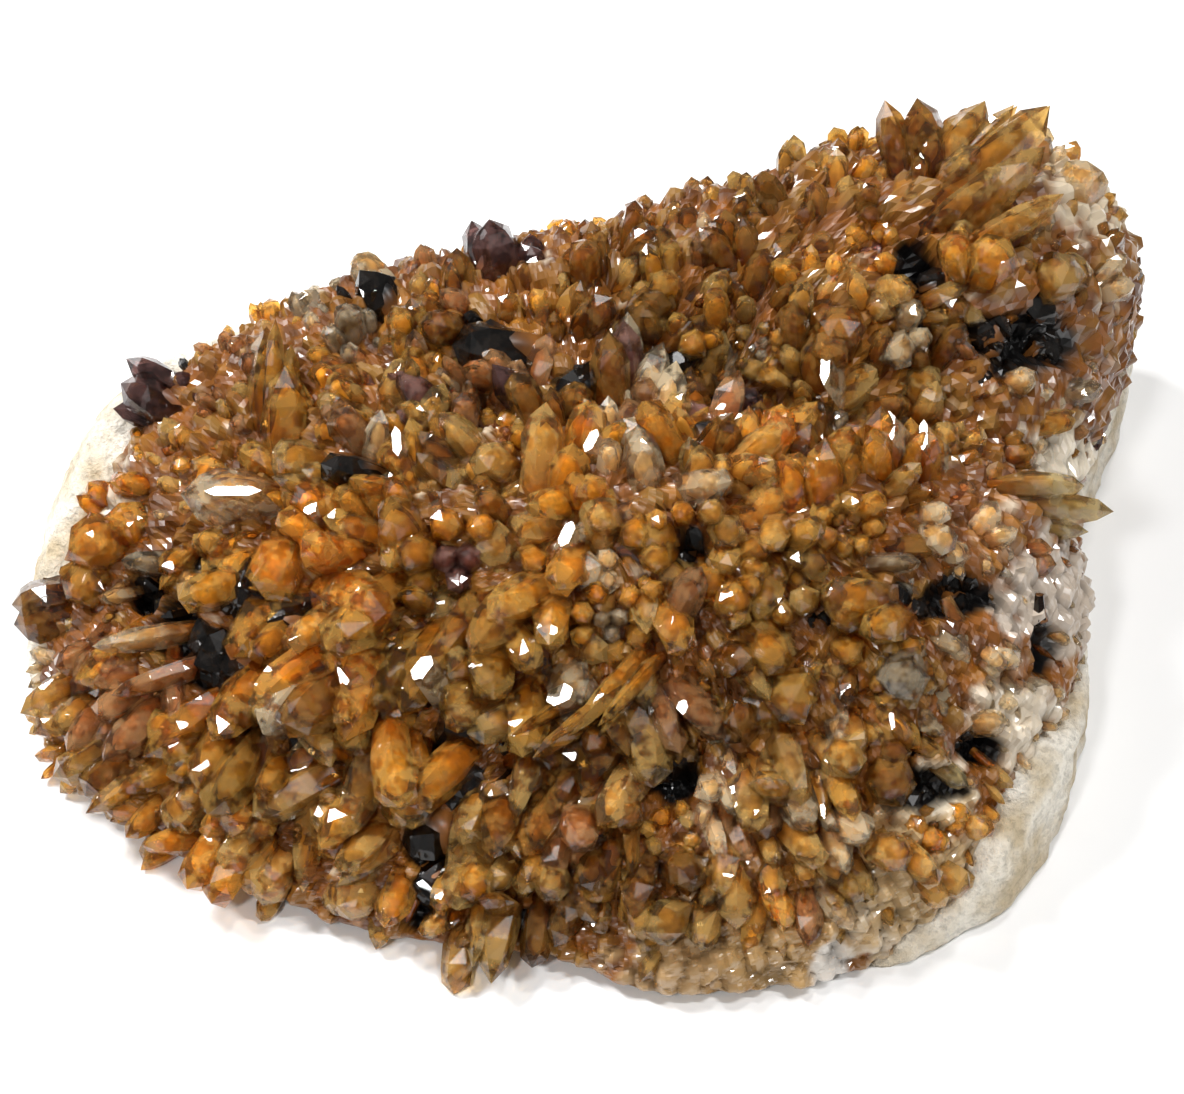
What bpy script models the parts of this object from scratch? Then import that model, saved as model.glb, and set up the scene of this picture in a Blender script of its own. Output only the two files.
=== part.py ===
"""Calcite specimen: a crust of dog-tooth calcite crystals on a cream matrix rock.

The specimen lies on the flat cut under its rock, at z = 0. X runs along its length, -Y is
the side that slopes down to the front, and the origin is in the middle of the base.

Both pieces come from one dome-like surface. Its outline is a closed curve about the origin,
each of its profiles is a superellipse from the outline up to a plateau, and the plateau
has two lobes with a valley between them. The rock is that surface drawn in under the crust
and standing a little proud where the crust is broken away. The crystals are six-sided
spires that stand on the crust's surface and fan out with it.
"""
import math

import bmesh
import bpy
import numpy as np

MM = 0.001
SEED = 20

# Each value of a closed curve is the mean of this many, over the arc of its rounding.
ARC_STEPS = 7

# The outline of the crust without its crystals: degrees about the origin, radius in mm.
OUTLINE = (
    (4, 79), (13, 79), (20, 87), (27, 99), (34, 114), (41, 109), (50, 91), (64, 70),
    (90, 56), (110, 58), (131, 66), (145, 77), (157, 90), (169, 93), (180, 92), (190, 90),
    (200, 84), (220, 69), (239, 63), (256, 57), (268, 58), (277, 65), (294, 69), (310, 75),
    (324, 79), (338, 80), (350, 79),
)
OUTLINE_ROUNDING = 5.0

# How boxy each profile is: 2 is a quarter circle, less slopes gently, more is a steep wall.
SHOULDER = (
    (0, 4.0), (25, 6.0), (90, 8.0), (140, 7.0), (158, 4.0), (172, 2.6), (185, 2.2),
    (220, 1.8), (270, 1.7), (310, 1.9), (335, 2.8),
)
SHOULDER_ROUNDING = 15.0

# Where the crust begins on each profile: 0 is the base and 1 is the middle of the top.
CRUST_EDGE = (
    (0, 0.16), (25, 0.14), (50, 0.22), (90, 0.38), (135, 0.38), (155, 0.44), (172, 0.36),
    (184, 0.10), (195, -0.1), (225, -0.2), (270, -0.2), (300, -0.1), (316, 0.10), (328, 0.30),
    (340, 0.26), (350, 0.18),
)
CRUST_EDGE_ROUNDING = 8.0
CRUST_THICKNESS = 8.0
CRUST_EDGE_WIDTH = 0.10
ROCK_PROUD = 1.6

# The plateau: a plane that rises to the back right, with lobes and a valley, in mm.
PLATEAU_HEIGHT = 37.5
PLATEAU_RISE_X = 0.11
PLATEAU_RISE_Y = 0.29
PLATEAU_LEVEL_Y = 5.0
FRONT_LOBE = (12.0, -5.0, 44.0, 17.0, 5.0)
BACK_LOBE = (50.0, 51.0, 30.0, 18.0, 4.0)
VALLEY_Y = 25.0
VALLEY_TURN = -0.18
VALLEY_WIDTH = 10.0
VALLEY_DEPTH = 8.5
VALLEY_START = (-15.0, 25.0)
RIGHT_END_DROP = 7.0
RIGHT_END = (62.0, 90.0)

# Broad lumps of the surface: height in mm, and the length of the waves.
LUMP_HEIGHT = 0.75
LUMP_LENGTHS = (31.0, 23.0, 17.0)

# The waves of each length are turned by these angles more than those before, in radians.
LUMP_TURNS = (1.1, 0.7)

# Steps in degrees and level for the normals, and the levels between which they are taken.
TURN_STEP = 1.0
LEVEL_STEP = 0.01
NORMAL_LEVELS = (0.03, 0.97)
# The smallest share of the outline's radius that a place of the plan is taken to have.
SMALLEST_SHARE = 0.01

# The domes are built of this many points round, and rings from the base to the top.
ROUND_STEPS = 38
PROFILE_STEPS = 7
# Between the crust and the rock, and how far the rock's cutter reaches under the base.
GAP = 0.4
CUTTER_DEPTH = 6.0
# The flat cut under the crust, and the slab that makes it.
CUT_HEIGHT = 0.4
CUT_SLAB = (400.0, 400.0, 20.0)

# The crystals that stand out by their size: place in plan in mm, heading and climb of the
# axis in degrees, length out of the crust and radius in mm.
LARGE_CRYSTALS = {
    "fan_right_tip": (56, 46, 30, 35, 25, 4.6),
    "fan_upper_point": (56, 53, 44, 43, 15, 3.8),
    "fan_left_point": (55, 54, 105, 52, 13, 3.8),
    "fan_low_blade": (58, 43, 15, 46, 21, 4.2),
    "fan_bead": (63, 36, -60, 76, 10, 4.6),
    "right_edge_bead": (74, 38, -30, 65, 8, 4.4),
    "right_edge_high": (80, 56, 60, 60, 7, 4.4),
    "right_blade": (67, 4, -9, 4, 16, 3.8),
    "pale_left_pointing": (-52, 9, -168, 20, 15, 5.2),
    "upright_amber": (-50, 17, 87, 56, 15, 4.6),
    "upright_amber_behind": (-53, 22, 90, 45, 16, 3.6),
    "valley_orange": (36, -3, 90, 67, 13, 3.8),
    "valley_glinting_left": (46, 5, 103, 70, 12, 3.8),
    "valley_glinting_right": (53, 6, 105, 74, 11, 3.6),
    "valley_back": (37, 23, 112, 66, 11, 3.6),
    "back_lobe_round": (40, 28, -107, 76, 8, 4.6),
    "front_finger": (-30, -32, -79, 0, 14, 4.8),
    "front_finger_left": (-41, -22, -66, 5, 14, 3.8),
    "front_blade": (-45, -35, -90, -20, 16, 3.8),
    "front_column": (22, -48, -90, -15, 13, 3.6),
    "front_middle": (-16, -17, -86, 5, 14, 4.6),
    "front_clear": (-4, -23, -75, 24, 10, 4.4),
    "front_ball": (31, -27, -96, 33, 9, 5.0),
    "front_right_ball": (46, -38, -96, 30, 7, 4.4),
    "spray_lower_left": (9, -21, -127, 0, 21, 3.2),
    "spray_left": (5, -27, -135, 5, 20, 3.2),
    "spray_right": (12, -25, -56, 5, 15, 3.2),
    "spray_up": (11, -19, 33, 60, 14, 3.2),
    "pale_finger": (-9, -27, -145, 15, 13, 3.4),
    "amber_right": (45, -16, -152, 35, 12, 4.8),
    "round_right": (48, -25, -97, 39, 8, 4.4),
    "left_ball": (-50, -1, -87, 28, 10, 5.4),
    "left_tip": (-86, 0, -165, 0, 9, 4.4),
    "left_blade_upper": (-65, -9, -157, 14, 16, 3.6),
    "left_blade_lower": (-62, -15, -151, 8, 16, 3.4),
    "left_amber": (-79, 7, -137, 65, 9, 5.6),
    "left_back_dark": (-69, 29, 168, 25, 10, 4.2),
    "left_low_point": (-82, -15, -145, -5, 10, 3.8),
    "left_low_middle": (-75, -25, -130, -8, 9, 3.8),
    "left_low_right": (-62, -32, -120, -8, 9, 3.8),
    "front_low_left": (-36, -47, -100, -10, 8, 4.2),
    "black_glossy": (-10, 30, -167, 23, 14, 5.0),
    "black_long": (3, 27, -142, 12, 12, 3.8),
    "black_top_edge": (-15, 45, 110, 56, 10, 4.8),
    "black_top_blade": (-33, 40, 148, 47, 9, 3.8),
    "ring_large": (-21, -6, -90, 40, 8, 6.2),
    "ring_dark": (16, -8, -95, 40, 8, 4.8),
    "ring_low": (35, -19, -95, 38, 8, 5.0),
}

# All the others: spacing, radius in mm, and the ratio of length to radius.
CRYSTAL_SPACING = 7.7
CRYSTAL_RADIUS = (2.6, 3.8)
CRYSTAL_SLENDERNESS = (2.1, 3.4)
# Where large crystals begin on each profile. On the right side the crust below is fine.
CRYSTAL_EDGE = (
    (0, 0.36), (25, 0.38), (90, 0.38), (135, 0.38), (155, 0.44), (172, 0.36), (184, 0.10),
    (195, -0.1), (225, -0.2), (270, -0.2), (300, -0.1), (318, 0.10), (334, 0.33),
)
CRYSTAL_EDGE_ROUNDING = 8.0
# Towards this edge the crystals are smaller: their size at the edge, and the levels above
# the edge between which they grow to full size.
EDGE_SIZE = 0.62
EDGE_BAND = (0.08, 0.28)
CRYSTAL_ROOT = 4.0
CRYSTAL_TILT = 0.38
CRYSTAL_FAN_REACH = 150.0
CRYSTAL_SIDES = 6
CRYSTAL_UNEVEN = 0.86
LOWEST_CRYSTAL = 3.0
THINNEST_COVER = 0.7
THINNEST_EDGE = 0.06
CANDIDATES = 12000
# The fine-grained band without large crystals: from and to, in degrees, and its height.
FINE_BAND = (262.0, 330.0, 9.0)
# A crystal's rings, as height over length and width over radius; the first is its root.
SHORT_PROFILE = ((0.55, 1.0),)
LARGE_PROFILE = ((0.35, 1.0), (0.78, 0.72))
ROOT_WIDTH = 0.6
# A direction that no crystal's axis has, to measure its turn from.
SIDE_GUIDE = (0.31, 0.95, 0.07)

# Linear colour and roughness.
STONE = ((0.80, 0.73, 0.62), 0.9)
CALCITE = ((0.45, 0.20, 0.05), 0.25)


def around(table, degrees, rounding):
    """Value of a closed curve at an angle: straight runs between the table's points,
    averaged over a small arc to each side so that they turn softly."""
    angles, values = np.array(table, dtype=float).T
    arc = np.linspace(-rounding, rounding, ARC_STEPS)
    return np.mean([np.interp(degrees + k, angles, values, period=360.0) for k in arc], axis=0)


def ramp(value, start, end):
    """0 below start, 1 above end, and a smooth S between them."""
    t = np.clip((value - start) / (end - start), 0.0, 1.0)
    return t * t * (3.0 - 2.0 * t)


def mound(x, y, shape):
    """A round hill with its middle at x, y, its half-widths and its height."""
    mid_x, mid_y, wide, deep, high = shape
    return high * np.exp(-((x - mid_x) / wide) ** 2 - ((y - mid_y) / deep) ** 2)


def lumps(x, y):
    """Broad waves that cross each other, for the uneven growth of the crust."""
    total = 0.0
    for number, length in enumerate(LUMP_LENGTHS):
        first, second = (turn * number for turn in LUMP_TURNS)
        along = x * math.cos(first) + y * math.sin(first)
        across = y * math.cos(second) - x * math.sin(second)
        wave = np.sin(math.tau * along / length + number)
        total = total + wave * np.cos(math.tau * across / length)
    return LUMP_HEIGHT * total


def plateau(x, y):
    """Height of the crust's top over the base."""
    plane = PLATEAU_HEIGHT + PLATEAU_RISE_X * x + PLATEAU_RISE_Y * (y - PLATEAU_LEVEL_Y)
    valley_line = VALLEY_Y + VALLEY_TURN * x
    bowl = np.exp(-((y - valley_line) / VALLEY_WIDTH) ** 2)
    valley = VALLEY_DEPTH * bowl * ramp(x, *VALLEY_START)
    end_drop = RIGHT_END_DROP * ramp(x, *RIGHT_END)
    lobes = mound(x, y, FRONT_LOBE) + mound(x, y, BACK_LOBE)
    return plane + lobes - valley - end_drop + lumps(x, y)


def surface(degrees, level, inset=0.0, drop=0.0):
    """Points of the dome, as an array (..., 3), in mm. level runs from 0 at the base to 1 at
    the middle of the top, as the angle along a superellipse with the outline's radius and the
    plateau's height; inset and drop draw it in from the side and from above."""
    power = around(SHOULDER, degrees, SHOULDER_ROUNDING)
    rise = np.clip(level, 0.0, 1.0) * math.pi / 2
    across, up = np.cos(rise).clip(0.0), np.sin(rise)
    size = (across ** power + up ** power) ** (-1.0 / power)
    radius = (around(OUTLINE, degrees, OUTLINE_ROUNDING) - inset) * across * size
    x = radius * np.cos(np.radians(degrees))
    y = radius * np.sin(np.radians(degrees))
    z = (plateau(x, y) - drop) * up * size
    return np.stack((x, y, z), axis=-1)


def over(x, y):
    """Degrees and level at which the dome passes over a place of the plan: the superellipse
    solved for its angle."""
    degrees = np.degrees(np.arctan2(y, x)) % 360.0
    share = np.hypot(x, y) / around(OUTLINE, degrees, OUTLINE_ROUNDING)
    power = around(SHOULDER, degrees, SHOULDER_ROUNDING)
    slope = (np.clip(share, SMALLEST_SHARE, 1.0) ** -power - 1.0) ** (1.0 / power)
    return degrees, np.arctan(slope) / (math.pi / 2)


def crust_cover(degrees, level):
    """1 where the crust covers the rock, 0 where it is broken away, smooth between."""
    edge = around(CRUST_EDGE, degrees, CRUST_EDGE_ROUNDING)
    return ramp(level, edge, edge + CRUST_EDGE_WIDTH)


def rock_surface(degrees, level, grow=0.0):
    """The rock's skin: the dome drawn in under the crust, a little proud where it is bare."""
    cover = crust_cover(degrees, level)
    depth = cover * CRUST_THICKNESS - (1.0 - cover) * ROCK_PROUD - grow
    return surface(degrees, level, depth, depth)


def facing(degrees, level):
    """Outward normals of the dome, as long as the area that a step of both parameters covers,
    from the cross product of its two tangents."""
    level = np.clip(level, *NORMAL_LEVELS)
    turn = surface(degrees + TURN_STEP, level) - surface(degrees - TURN_STEP, level)
    climb = surface(degrees, level + LEVEL_STEP) - surface(degrees, level - LEVEL_STEP)
    return np.cross(turn, climb)


def heading(azimuth, climb):
    """Unit vector from a heading in the plan and a climb above it, in degrees."""
    turn, up = math.radians(azimuth), math.radians(climb)
    return np.array((math.cos(up) * math.cos(turn), math.cos(up) * math.sin(turn), math.sin(up)))


def crystal_sites(taken, spacing, random):
    """Degrees, level and place of the crystals: random places on the crust, evenly spread
    by area, of which each is kept if it is a spacing away from all those kept before."""
    degrees = random.uniform(0.0, 360.0, CANDIDATES)
    level = random.uniform(0.0, 1.0, CANDIDATES)
    area = np.linalg.norm(facing(degrees, level), axis=1)
    drawn = random.choice(CANDIDATES, CANDIDATES, p=area / area.sum())
    degrees, level = degrees[drawn], level[drawn]
    places = surface(degrees, level)
    band_start, band_end, band_height = FINE_BAND
    band = (degrees > band_start) & (degrees < band_end) & (places[:, 2] < band_height)
    covered = crust_cover(degrees, level) > THINNEST_COVER
    covered &= level > around(CRYSTAL_EDGE, degrees, CRYSTAL_EDGE_ROUNDING) + THINNEST_EDGE
    fit = covered & ~band & (places[:, 2] > LOWEST_CRYSTAL)
    kept = []
    filled = list(taken)
    for site in np.flatnonzero(fit):
        if np.linalg.norm(np.array(filled) - places[site], axis=1).min() > spacing:
            kept.append(site)
            filled.append(places[site])
    return degrees[kept], level[kept], places[kept]


def crystal_directions(degrees, level, places, random):
    """The dome's normals, fanned out from its centre, and each tilted at random."""
    out = facing(degrees, level)
    out /= np.linalg.norm(out, axis=1, keepdims=True)
    fan = places * (1.0, 1.0, 0.0) / CRYSTAL_FAN_REACH
    directions = out + fan + random.normal(0.0, CRYSTAL_TILT, places.shape)
    return directions / np.linalg.norm(directions, axis=1, keepdims=True)


def crystal_mesh(place, direction, length, radius, twist, profile):
    """Rings and tip of one spire, its root inside the crust. Every other edge stands out
    a little, as the three-fold faces of calcite do."""
    side = np.cross(direction, SIDE_GUIDE)
    side /= np.linalg.norm(side)
    other = np.cross(direction, side)
    count = CRYSTAL_SIDES
    turn = twist + np.arange(count) * math.tau / count
    spread = np.outer(np.cos(turn), side) + np.outer(np.sin(turn), other)
    uneven = np.where(np.arange(count) % 2 == 0, 1.0, CRYSTAL_UNEVEN)[:, None]
    rings = [place - CRYSTAL_ROOT * direction + ROOT_WIDTH * radius * uneven * spread]
    for height, width in profile:
        rings.append(place + height * length * direction + width * radius * uneven * spread)
    tip = place + length * direction
    grid = np.stack(rings)
    return np.concatenate((grid.reshape(-1, 3), tip[None])), grid_solid(grid, split=False)


def grid_solid(points, split=True):
    """Faces of a closed solid from rings of points, base ring first, that end in one point.
    Split faces are triangles, which two domes over the same grid then share exactly."""
    rows, count = points.shape[:2]
    faces = [tuple(reversed(range(count)))]
    for row in range(rows - 1):
        for k in range(count):
            after = (k + 1) % count
            low, high = row * count, (row + 1) * count
            if split:
                faces.append((low + k, low + after, high + after))
                faces.append((low + k, high + after, high + k))
            else:
                faces.append((low + k, low + after, high + after, high + k))
    top = rows * count
    last = (rows - 1) * count
    for k in range(count):
        faces.append((last + k, last + (k + 1) % count, top))
    return faces


def large_crystals():
    """The crystals of the table, each rooted on the crust."""
    crystals = []
    for x, y, azimuth, climb, length, radius in LARGE_CRYSTALS.values():
        place = surface(*over(x, y))
        axis = heading(azimuth, climb)
        crystals.append((place, axis, length, radius, math.radians(azimuth), LARGE_PROFILE))
    return crystals


def small_crystals():
    """The crystals that fill the crust between the large ones."""
    random = np.random.default_rng(SEED)
    taken = [crystal[0] for crystal in large_crystals()]
    degrees, level, places = crystal_sites(taken, CRYSTAL_SPACING, random)
    directions = crystal_directions(degrees, level, places, random)
    inner = level - around(CRYSTAL_EDGE, degrees, CRYSTAL_EDGE_ROUNDING)
    size = EDGE_SIZE + (1.0 - EDGE_SIZE) * ramp(inner, *EDGE_BAND)
    radii = size * random.uniform(*CRYSTAL_RADIUS, len(places))
    lengths = radii * random.uniform(*CRYSTAL_SLENDERNESS, len(places))
    twists = random.uniform(0.0, math.tau, len(places))
    profiles = [SHORT_PROFILE] * len(places)
    return list(zip(places, directions, lengths, radii, twists, profiles))


def make_object(name, points, faces, collection, material=None):
    """A mesh object in the collection, from points in mm."""
    mesh = bpy.data.meshes.new(name)
    mesh.from_pydata((np.asarray(points) * MM).tolist(), [], faces)
    mesh.update()
    item = bpy.data.objects.new(name, mesh)
    collection.objects.link(item)
    if material:
        mesh.materials.append(material)
    return item


def dome(name, skin, collection, material=None, skirt=0.0):
    """A solid dome from a skin function, with a ring below the base where skirt is set."""
    degrees = np.arange(ROUND_STEPS) * 360.0 / ROUND_STEPS
    levels = np.linspace(0.0, 1.0, PROFILE_STEPS + 1)[:-1]
    rings = [skin(degrees, np.full(ROUND_STEPS, level)) for level in levels]
    if skirt:
        low = rings[0].copy()
        low[:, 2] = -skirt
        rings.insert(0, low)
    top = skin(np.zeros(1), np.ones(1))
    grid = np.stack(rings)
    points = np.concatenate((grid.reshape(-1, 3), top))
    return make_object(name, points, grid_solid(grid), collection, material)


def flat_cut(collection):
    """The slab under the specimen that takes off what reaches below the flat cut."""
    wide, deep, thick = (side * MM for side in CUT_SLAB)
    bpy.ops.mesh.primitive_cube_add(size=1.0, location=(0.0, 0.0, CUT_HEIGHT * MM - thick / 2))
    slab = bpy.context.active_object
    slab.name = "flat_cut"
    slab.scale = (wide, deep, thick)
    for owner in list(slab.users_collection):
        owner.objects.unlink(slab)
    collection.objects.link(slab)
    return slab


def join(item, tool, operation):
    """A Boolean on item. The spires overlap each other, so the solver resolves those too."""
    modifier = item.modifiers.new(tool.name, "BOOLEAN")
    modifier.operation = operation
    modifier.object = tool
    modifier.solver = "EXACT"
    modifier.use_self = operation == "UNION"
    tool.hide_render = True
    tool.display_type = "WIRE"


def keep_largest_body(item):
    """The Booleans applied, without the crumbs of crystals that the rock's edge cuts off."""
    evaluated = item.evaluated_get(bpy.context.evaluated_depsgraph_get())
    mesh = bpy.data.meshes.new_from_object(evaluated)
    item.modifiers.clear()
    item.data = mesh
    work = bmesh.new()
    work.from_mesh(mesh)
    bodies = []
    waiting = set(work.verts)
    while waiting:
        body = {waiting.pop()}
        edge_of_body = list(body)
        while edge_of_body:
            corner = edge_of_body.pop()
            near = {edge.other_vert(corner) for edge in corner.link_edges} & waiting
            waiting -= near
            body |= near
            edge_of_body.extend(near)
        bodies.append(body)
    largest = max(bodies, key=len)
    crumbs = [corner for corner in work.verts if corner not in largest]
    bmesh.ops.delete(work, geom=crumbs, context="VERTS")
    work.to_mesh(mesh)
    work.free()


def principled(name, colour, roughness):
    """A plain material of one colour."""
    material = bpy.data.materials.new(name)
    material.use_nodes = True
    shader = material.node_tree.nodes["Principled BSDF"]
    shader.inputs["Base Color"].default_value = (*colour, 1.0)
    shader.inputs["Roughness"].default_value = roughness
    material.diffuse_color = (*colour, 1.0)
    return material


def main():
    """The rock, and the crust with its crystals: joined, cut flat below and hollowed for it."""
    for item in list(bpy.data.objects):
        bpy.data.objects.remove(item, do_unlink=True)
    parts = bpy.data.collections.new("calcite_specimen")
    cutters = bpy.data.collections.new("cutters")
    for collection in (parts, cutters):
        bpy.context.scene.collection.children.link(collection)
    stone = principled("cream_matrix", *STONE)
    calcite = principled("honey_calcite", *CALCITE)
    dome("matrix", rock_surface, parts, stone)
    crust = dome("calcite_druse", surface, parts, calcite)

    points = []
    faces = []
    start = 0
    for crystal in large_crystals() + small_crystals():
        own_points, own_faces = crystal_mesh(*crystal)
        points.append(own_points)
        faces.extend([tuple(start + k for k in face) for face in own_faces])
        start += len(own_points)
    spires = make_object("spires", np.concatenate(points), faces, cutters)

    def grown_rock(degrees, level):
        return rock_surface(degrees, level, GAP)

    rock_space = dome("rock_space", grown_rock, cutters, skirt=CUTTER_DEPTH)
    join(crust, spires, "UNION")
    join(crust, flat_cut(cutters), "DIFFERENCE")
    join(crust, rock_space, "DIFFERENCE")
    keep_largest_body(crust)


main()
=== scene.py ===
import math

import bpy
import numpy as np
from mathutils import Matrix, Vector


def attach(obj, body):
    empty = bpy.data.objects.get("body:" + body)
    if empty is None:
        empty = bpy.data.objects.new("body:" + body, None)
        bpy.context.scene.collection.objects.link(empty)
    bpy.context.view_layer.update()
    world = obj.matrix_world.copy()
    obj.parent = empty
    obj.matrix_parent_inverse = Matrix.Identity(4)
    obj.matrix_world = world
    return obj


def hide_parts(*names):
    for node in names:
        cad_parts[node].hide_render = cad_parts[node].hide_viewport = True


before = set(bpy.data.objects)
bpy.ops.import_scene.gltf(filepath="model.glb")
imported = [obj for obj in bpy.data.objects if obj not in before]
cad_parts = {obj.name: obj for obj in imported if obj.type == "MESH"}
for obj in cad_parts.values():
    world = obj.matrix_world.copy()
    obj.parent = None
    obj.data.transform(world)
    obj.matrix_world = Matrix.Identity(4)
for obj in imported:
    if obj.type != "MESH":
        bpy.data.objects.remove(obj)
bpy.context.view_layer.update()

# Lengths are in mm and angles in degrees, unless a comment says otherwise. Leans and tilts are
# added to a direction of length 1.
MM = 0.001

# The dome that the rock and the crust share, as the part's source gives it.
ARC_STEPS = 7
OUTLINE = (
    (4, 79), (13, 79), (20, 87), (27, 99), (34, 114), (41, 109), (50, 91), (64, 70),
    (90, 56), (110, 58), (131, 66), (145, 77), (157, 90), (169, 93), (180, 92), (190, 90),
    (200, 84), (220, 69), (239, 63), (256, 57), (268, 58), (277, 65), (294, 69), (310, 75),
    (324, 79), (338, 80), (350, 79),
)
OUTLINE_ROUNDING = 5.0
SHOULDER = (
    (0, 4.0), (25, 6.0), (90, 8.0), (140, 7.0), (158, 4.0), (172, 2.6), (185, 2.2),
    (220, 1.8), (270, 1.7), (310, 1.9), (335, 2.8),
)
SHOULDER_ROUNDING = 15.0
CRUST_EDGE = (
    (0, 0.16), (25, 0.14), (50, 0.22), (90, 0.38), (135, 0.38), (155, 0.44), (172, 0.36),
    (184, 0.10), (195, -0.1), (225, -0.2), (270, -0.2), (300, -0.1), (316, 0.10), (328, 0.30),
    (340, 0.26), (350, 0.18),
)
CRUST_EDGE_ROUNDING = 8.0
CRUST_THICKNESS = 8.0
CRUST_EDGE_WIDTH = 0.10
ROCK_PROUD = 1.6
PLATEAU_HEIGHT = 37.5
PLATEAU_RISE_X = 0.11
PLATEAU_RISE_Y = 0.29
PLATEAU_LEVEL_Y = 5.0
FRONT_LOBE = (12.0, -5.0, 44.0, 17.0, 5.0)
BACK_LOBE = (50.0, 51.0, 30.0, 18.0, 4.0)
VALLEY_Y = 25.0
# The slope of its line in the plan.
VALLEY_TURN = -0.18
VALLEY_WIDTH = 10.0
VALLEY_DEPTH = 8.5
VALLEY_START = (-15.0, 25.0)
RIGHT_END_DROP = 7.0
RIGHT_END = (62.0, 90.0)
LUMP_HEIGHT = 0.75
LUMP_LENGTHS = (31.0, 23.0, 17.0)
# In radians: how far each wave is turned from the one before.
LUMP_TURNS = (1.1, 0.7)
# Steps of degrees and level for the dome's tangents, and the levels they are taken at.
TURN_STEP = 1.0
LEVEL_STEP = 0.01
NORMAL_LEVELS = (0.03, 0.97)
SMALLEST_SHARE = 0.01
# The level of a dome's last point, at its very top.
TOP_LEVEL = 0.999

# The large crystals of the part's source: place in the plan, heading, climb, length and
# radius, with the habit and the colour that each one shows.
LARGE_CRYSTALS = {
    "fan_right_tip": (56, 46, 30, 35, 25, 4.6, "blade", "ochre"),
    "fan_upper_point": (56, 53, 44, 43, 15, 3.8, "tooth", "ochre"),
    "fan_left_point": (55, 54, 105, 52, 13, 3.8, "tooth", "brown"),
    "fan_low_blade": (58, 43, 15, 46, 21, 4.2, "blade", "ochre"),
    "fan_bead": (63, 36, -60, 76, 10, 4.6, "finger", "amber"),
    "right_edge_bead": (74, 38, -30, 65, 8, 4.4, "finger", "ochre"),
    "right_edge_high": (80, 56, 60, 60, 7, 4.4, "finger", "pale"),
    "right_blade": (67, 4, -9, 4, 16, 3.8, "blade", "olive"),
    "pale_left_pointing": (-52, 9, -168, 20, 15, 5.2, "tooth", "pale"),
    "upright_amber": (-50, 17, 87, 56, 15, 4.6, "tooth", "amber"),
    "upright_amber_behind": (-53, 22, 90, 45, 16, 3.6, "tooth", "amber"),
    "valley_orange": (36, -3, 90, 67, 13, 3.8, "tooth", "orange"),
    "valley_glinting_left": (46, 5, 103, 70, 12, 3.8, "tooth", "orange"),
    "valley_glinting_right": (53, 6, 105, 74, 11, 3.6, "tooth", "orange"),
    "valley_back": (37, 23, 112, 66, 11, 3.6, "tooth", "brown"),
    "back_lobe_round": (40, 28, -107, 76, 8, 4.6, "finger", "brown"),
    "front_finger": (-30, -32, -79, 0, 14, 4.8, "finger", "amber"),
    "front_finger_left": (-41, -22, -66, 5, 14, 3.8, "finger", "amber"),
    "front_blade": (-45, -35, -90, -20, 16, 3.8, "blade", "ochre"),
    "front_column": (22, -48, -90, -15, 13, 3.6, "finger", "ochre"),
    "front_middle": (-16, -17, -86, 5, 14, 4.6, "finger", "amber"),
    "front_clear": (-4, -23, -75, 24, 10, 4.4, "tooth", "pale"),
    "front_ball": (31, -27, -96, 33, 9, 5.0, "finger", "amber"),
    "front_right_ball": (46, -38, -96, 30, 7, 4.4, "finger", "brown"),
    "spray_lower_left": (9, -21, -127, 0, 21, 3.2, "blade", "amber"),
    "spray_left": (5, -27, -135, 5, 20, 3.2, "blade", "orange"),
    "spray_right": (12, -25, -56, 5, 15, 3.2, "finger", "rose"),
    "spray_up": (11, -19, 33, 60, 14, 3.2, "finger", "rose"),
    "pale_finger": (-9, -27, -145, 15, 13, 3.4, "finger", "ochre"),
    "amber_right": (45, -16, -152, 35, 12, 4.8, "finger", "amber"),
    "round_right": (48, -25, -97, 39, 8, 4.4, "finger", "grey"),
    "left_ball": (-50, -1, -87, 28, 10, 5.4, "finger", "orange"),
    "left_tip": (-86, 0, -165, 0, 9, 4.4, "tooth", "brown"),
    "left_blade_upper": (-65, -9, -157, 14, 16, 3.6, "blade", "pale"),
    "left_blade_lower": (-62, -15, -151, 8, 16, 3.4, "blade", "rose"),
    "left_amber": (-79, 7, -137, 65, 9, 5.6, "finger", "orange"),
    "left_back_dark": (-69, 29, 168, 25, 10, 4.2, "tooth", "plum"),
    "left_low_point": (-82, -15, -145, -5, 10, 3.8, "tooth", "ochre"),
    "left_low_middle": (-75, -25, -130, -8, 9, 3.8, "finger", "brown"),
    "left_low_right": (-62, -32, -120, -8, 9, 3.8, "finger", "ochre"),
    "front_low_left": (-36, -47, -100, -10, 8, 4.2, "finger", "ochre"),
    "black_glossy": (-10, 30, -167, 23, 14, 5.0, "finger", "black"),
    "black_long": (3, 27, -142, 12, 12, 3.8, "finger", "black"),
    "black_top_edge": (-15, 45, 110, 56, 10, 4.8, "tooth", "plum"),
    "black_top_blade": (-33, 40, 148, 47, 9, 3.8, "tooth", "black"),
    "ring_large": (-21, -6, -90, 40, 8, 6.2, "ring", "violet"),
    "ring_dark": (16, -8, -95, 40, 8, 4.8, "ring", "black"),
    "ring_low": (35, -19, -95, 38, 8, 5.0, "ring", "black"),
}

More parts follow.
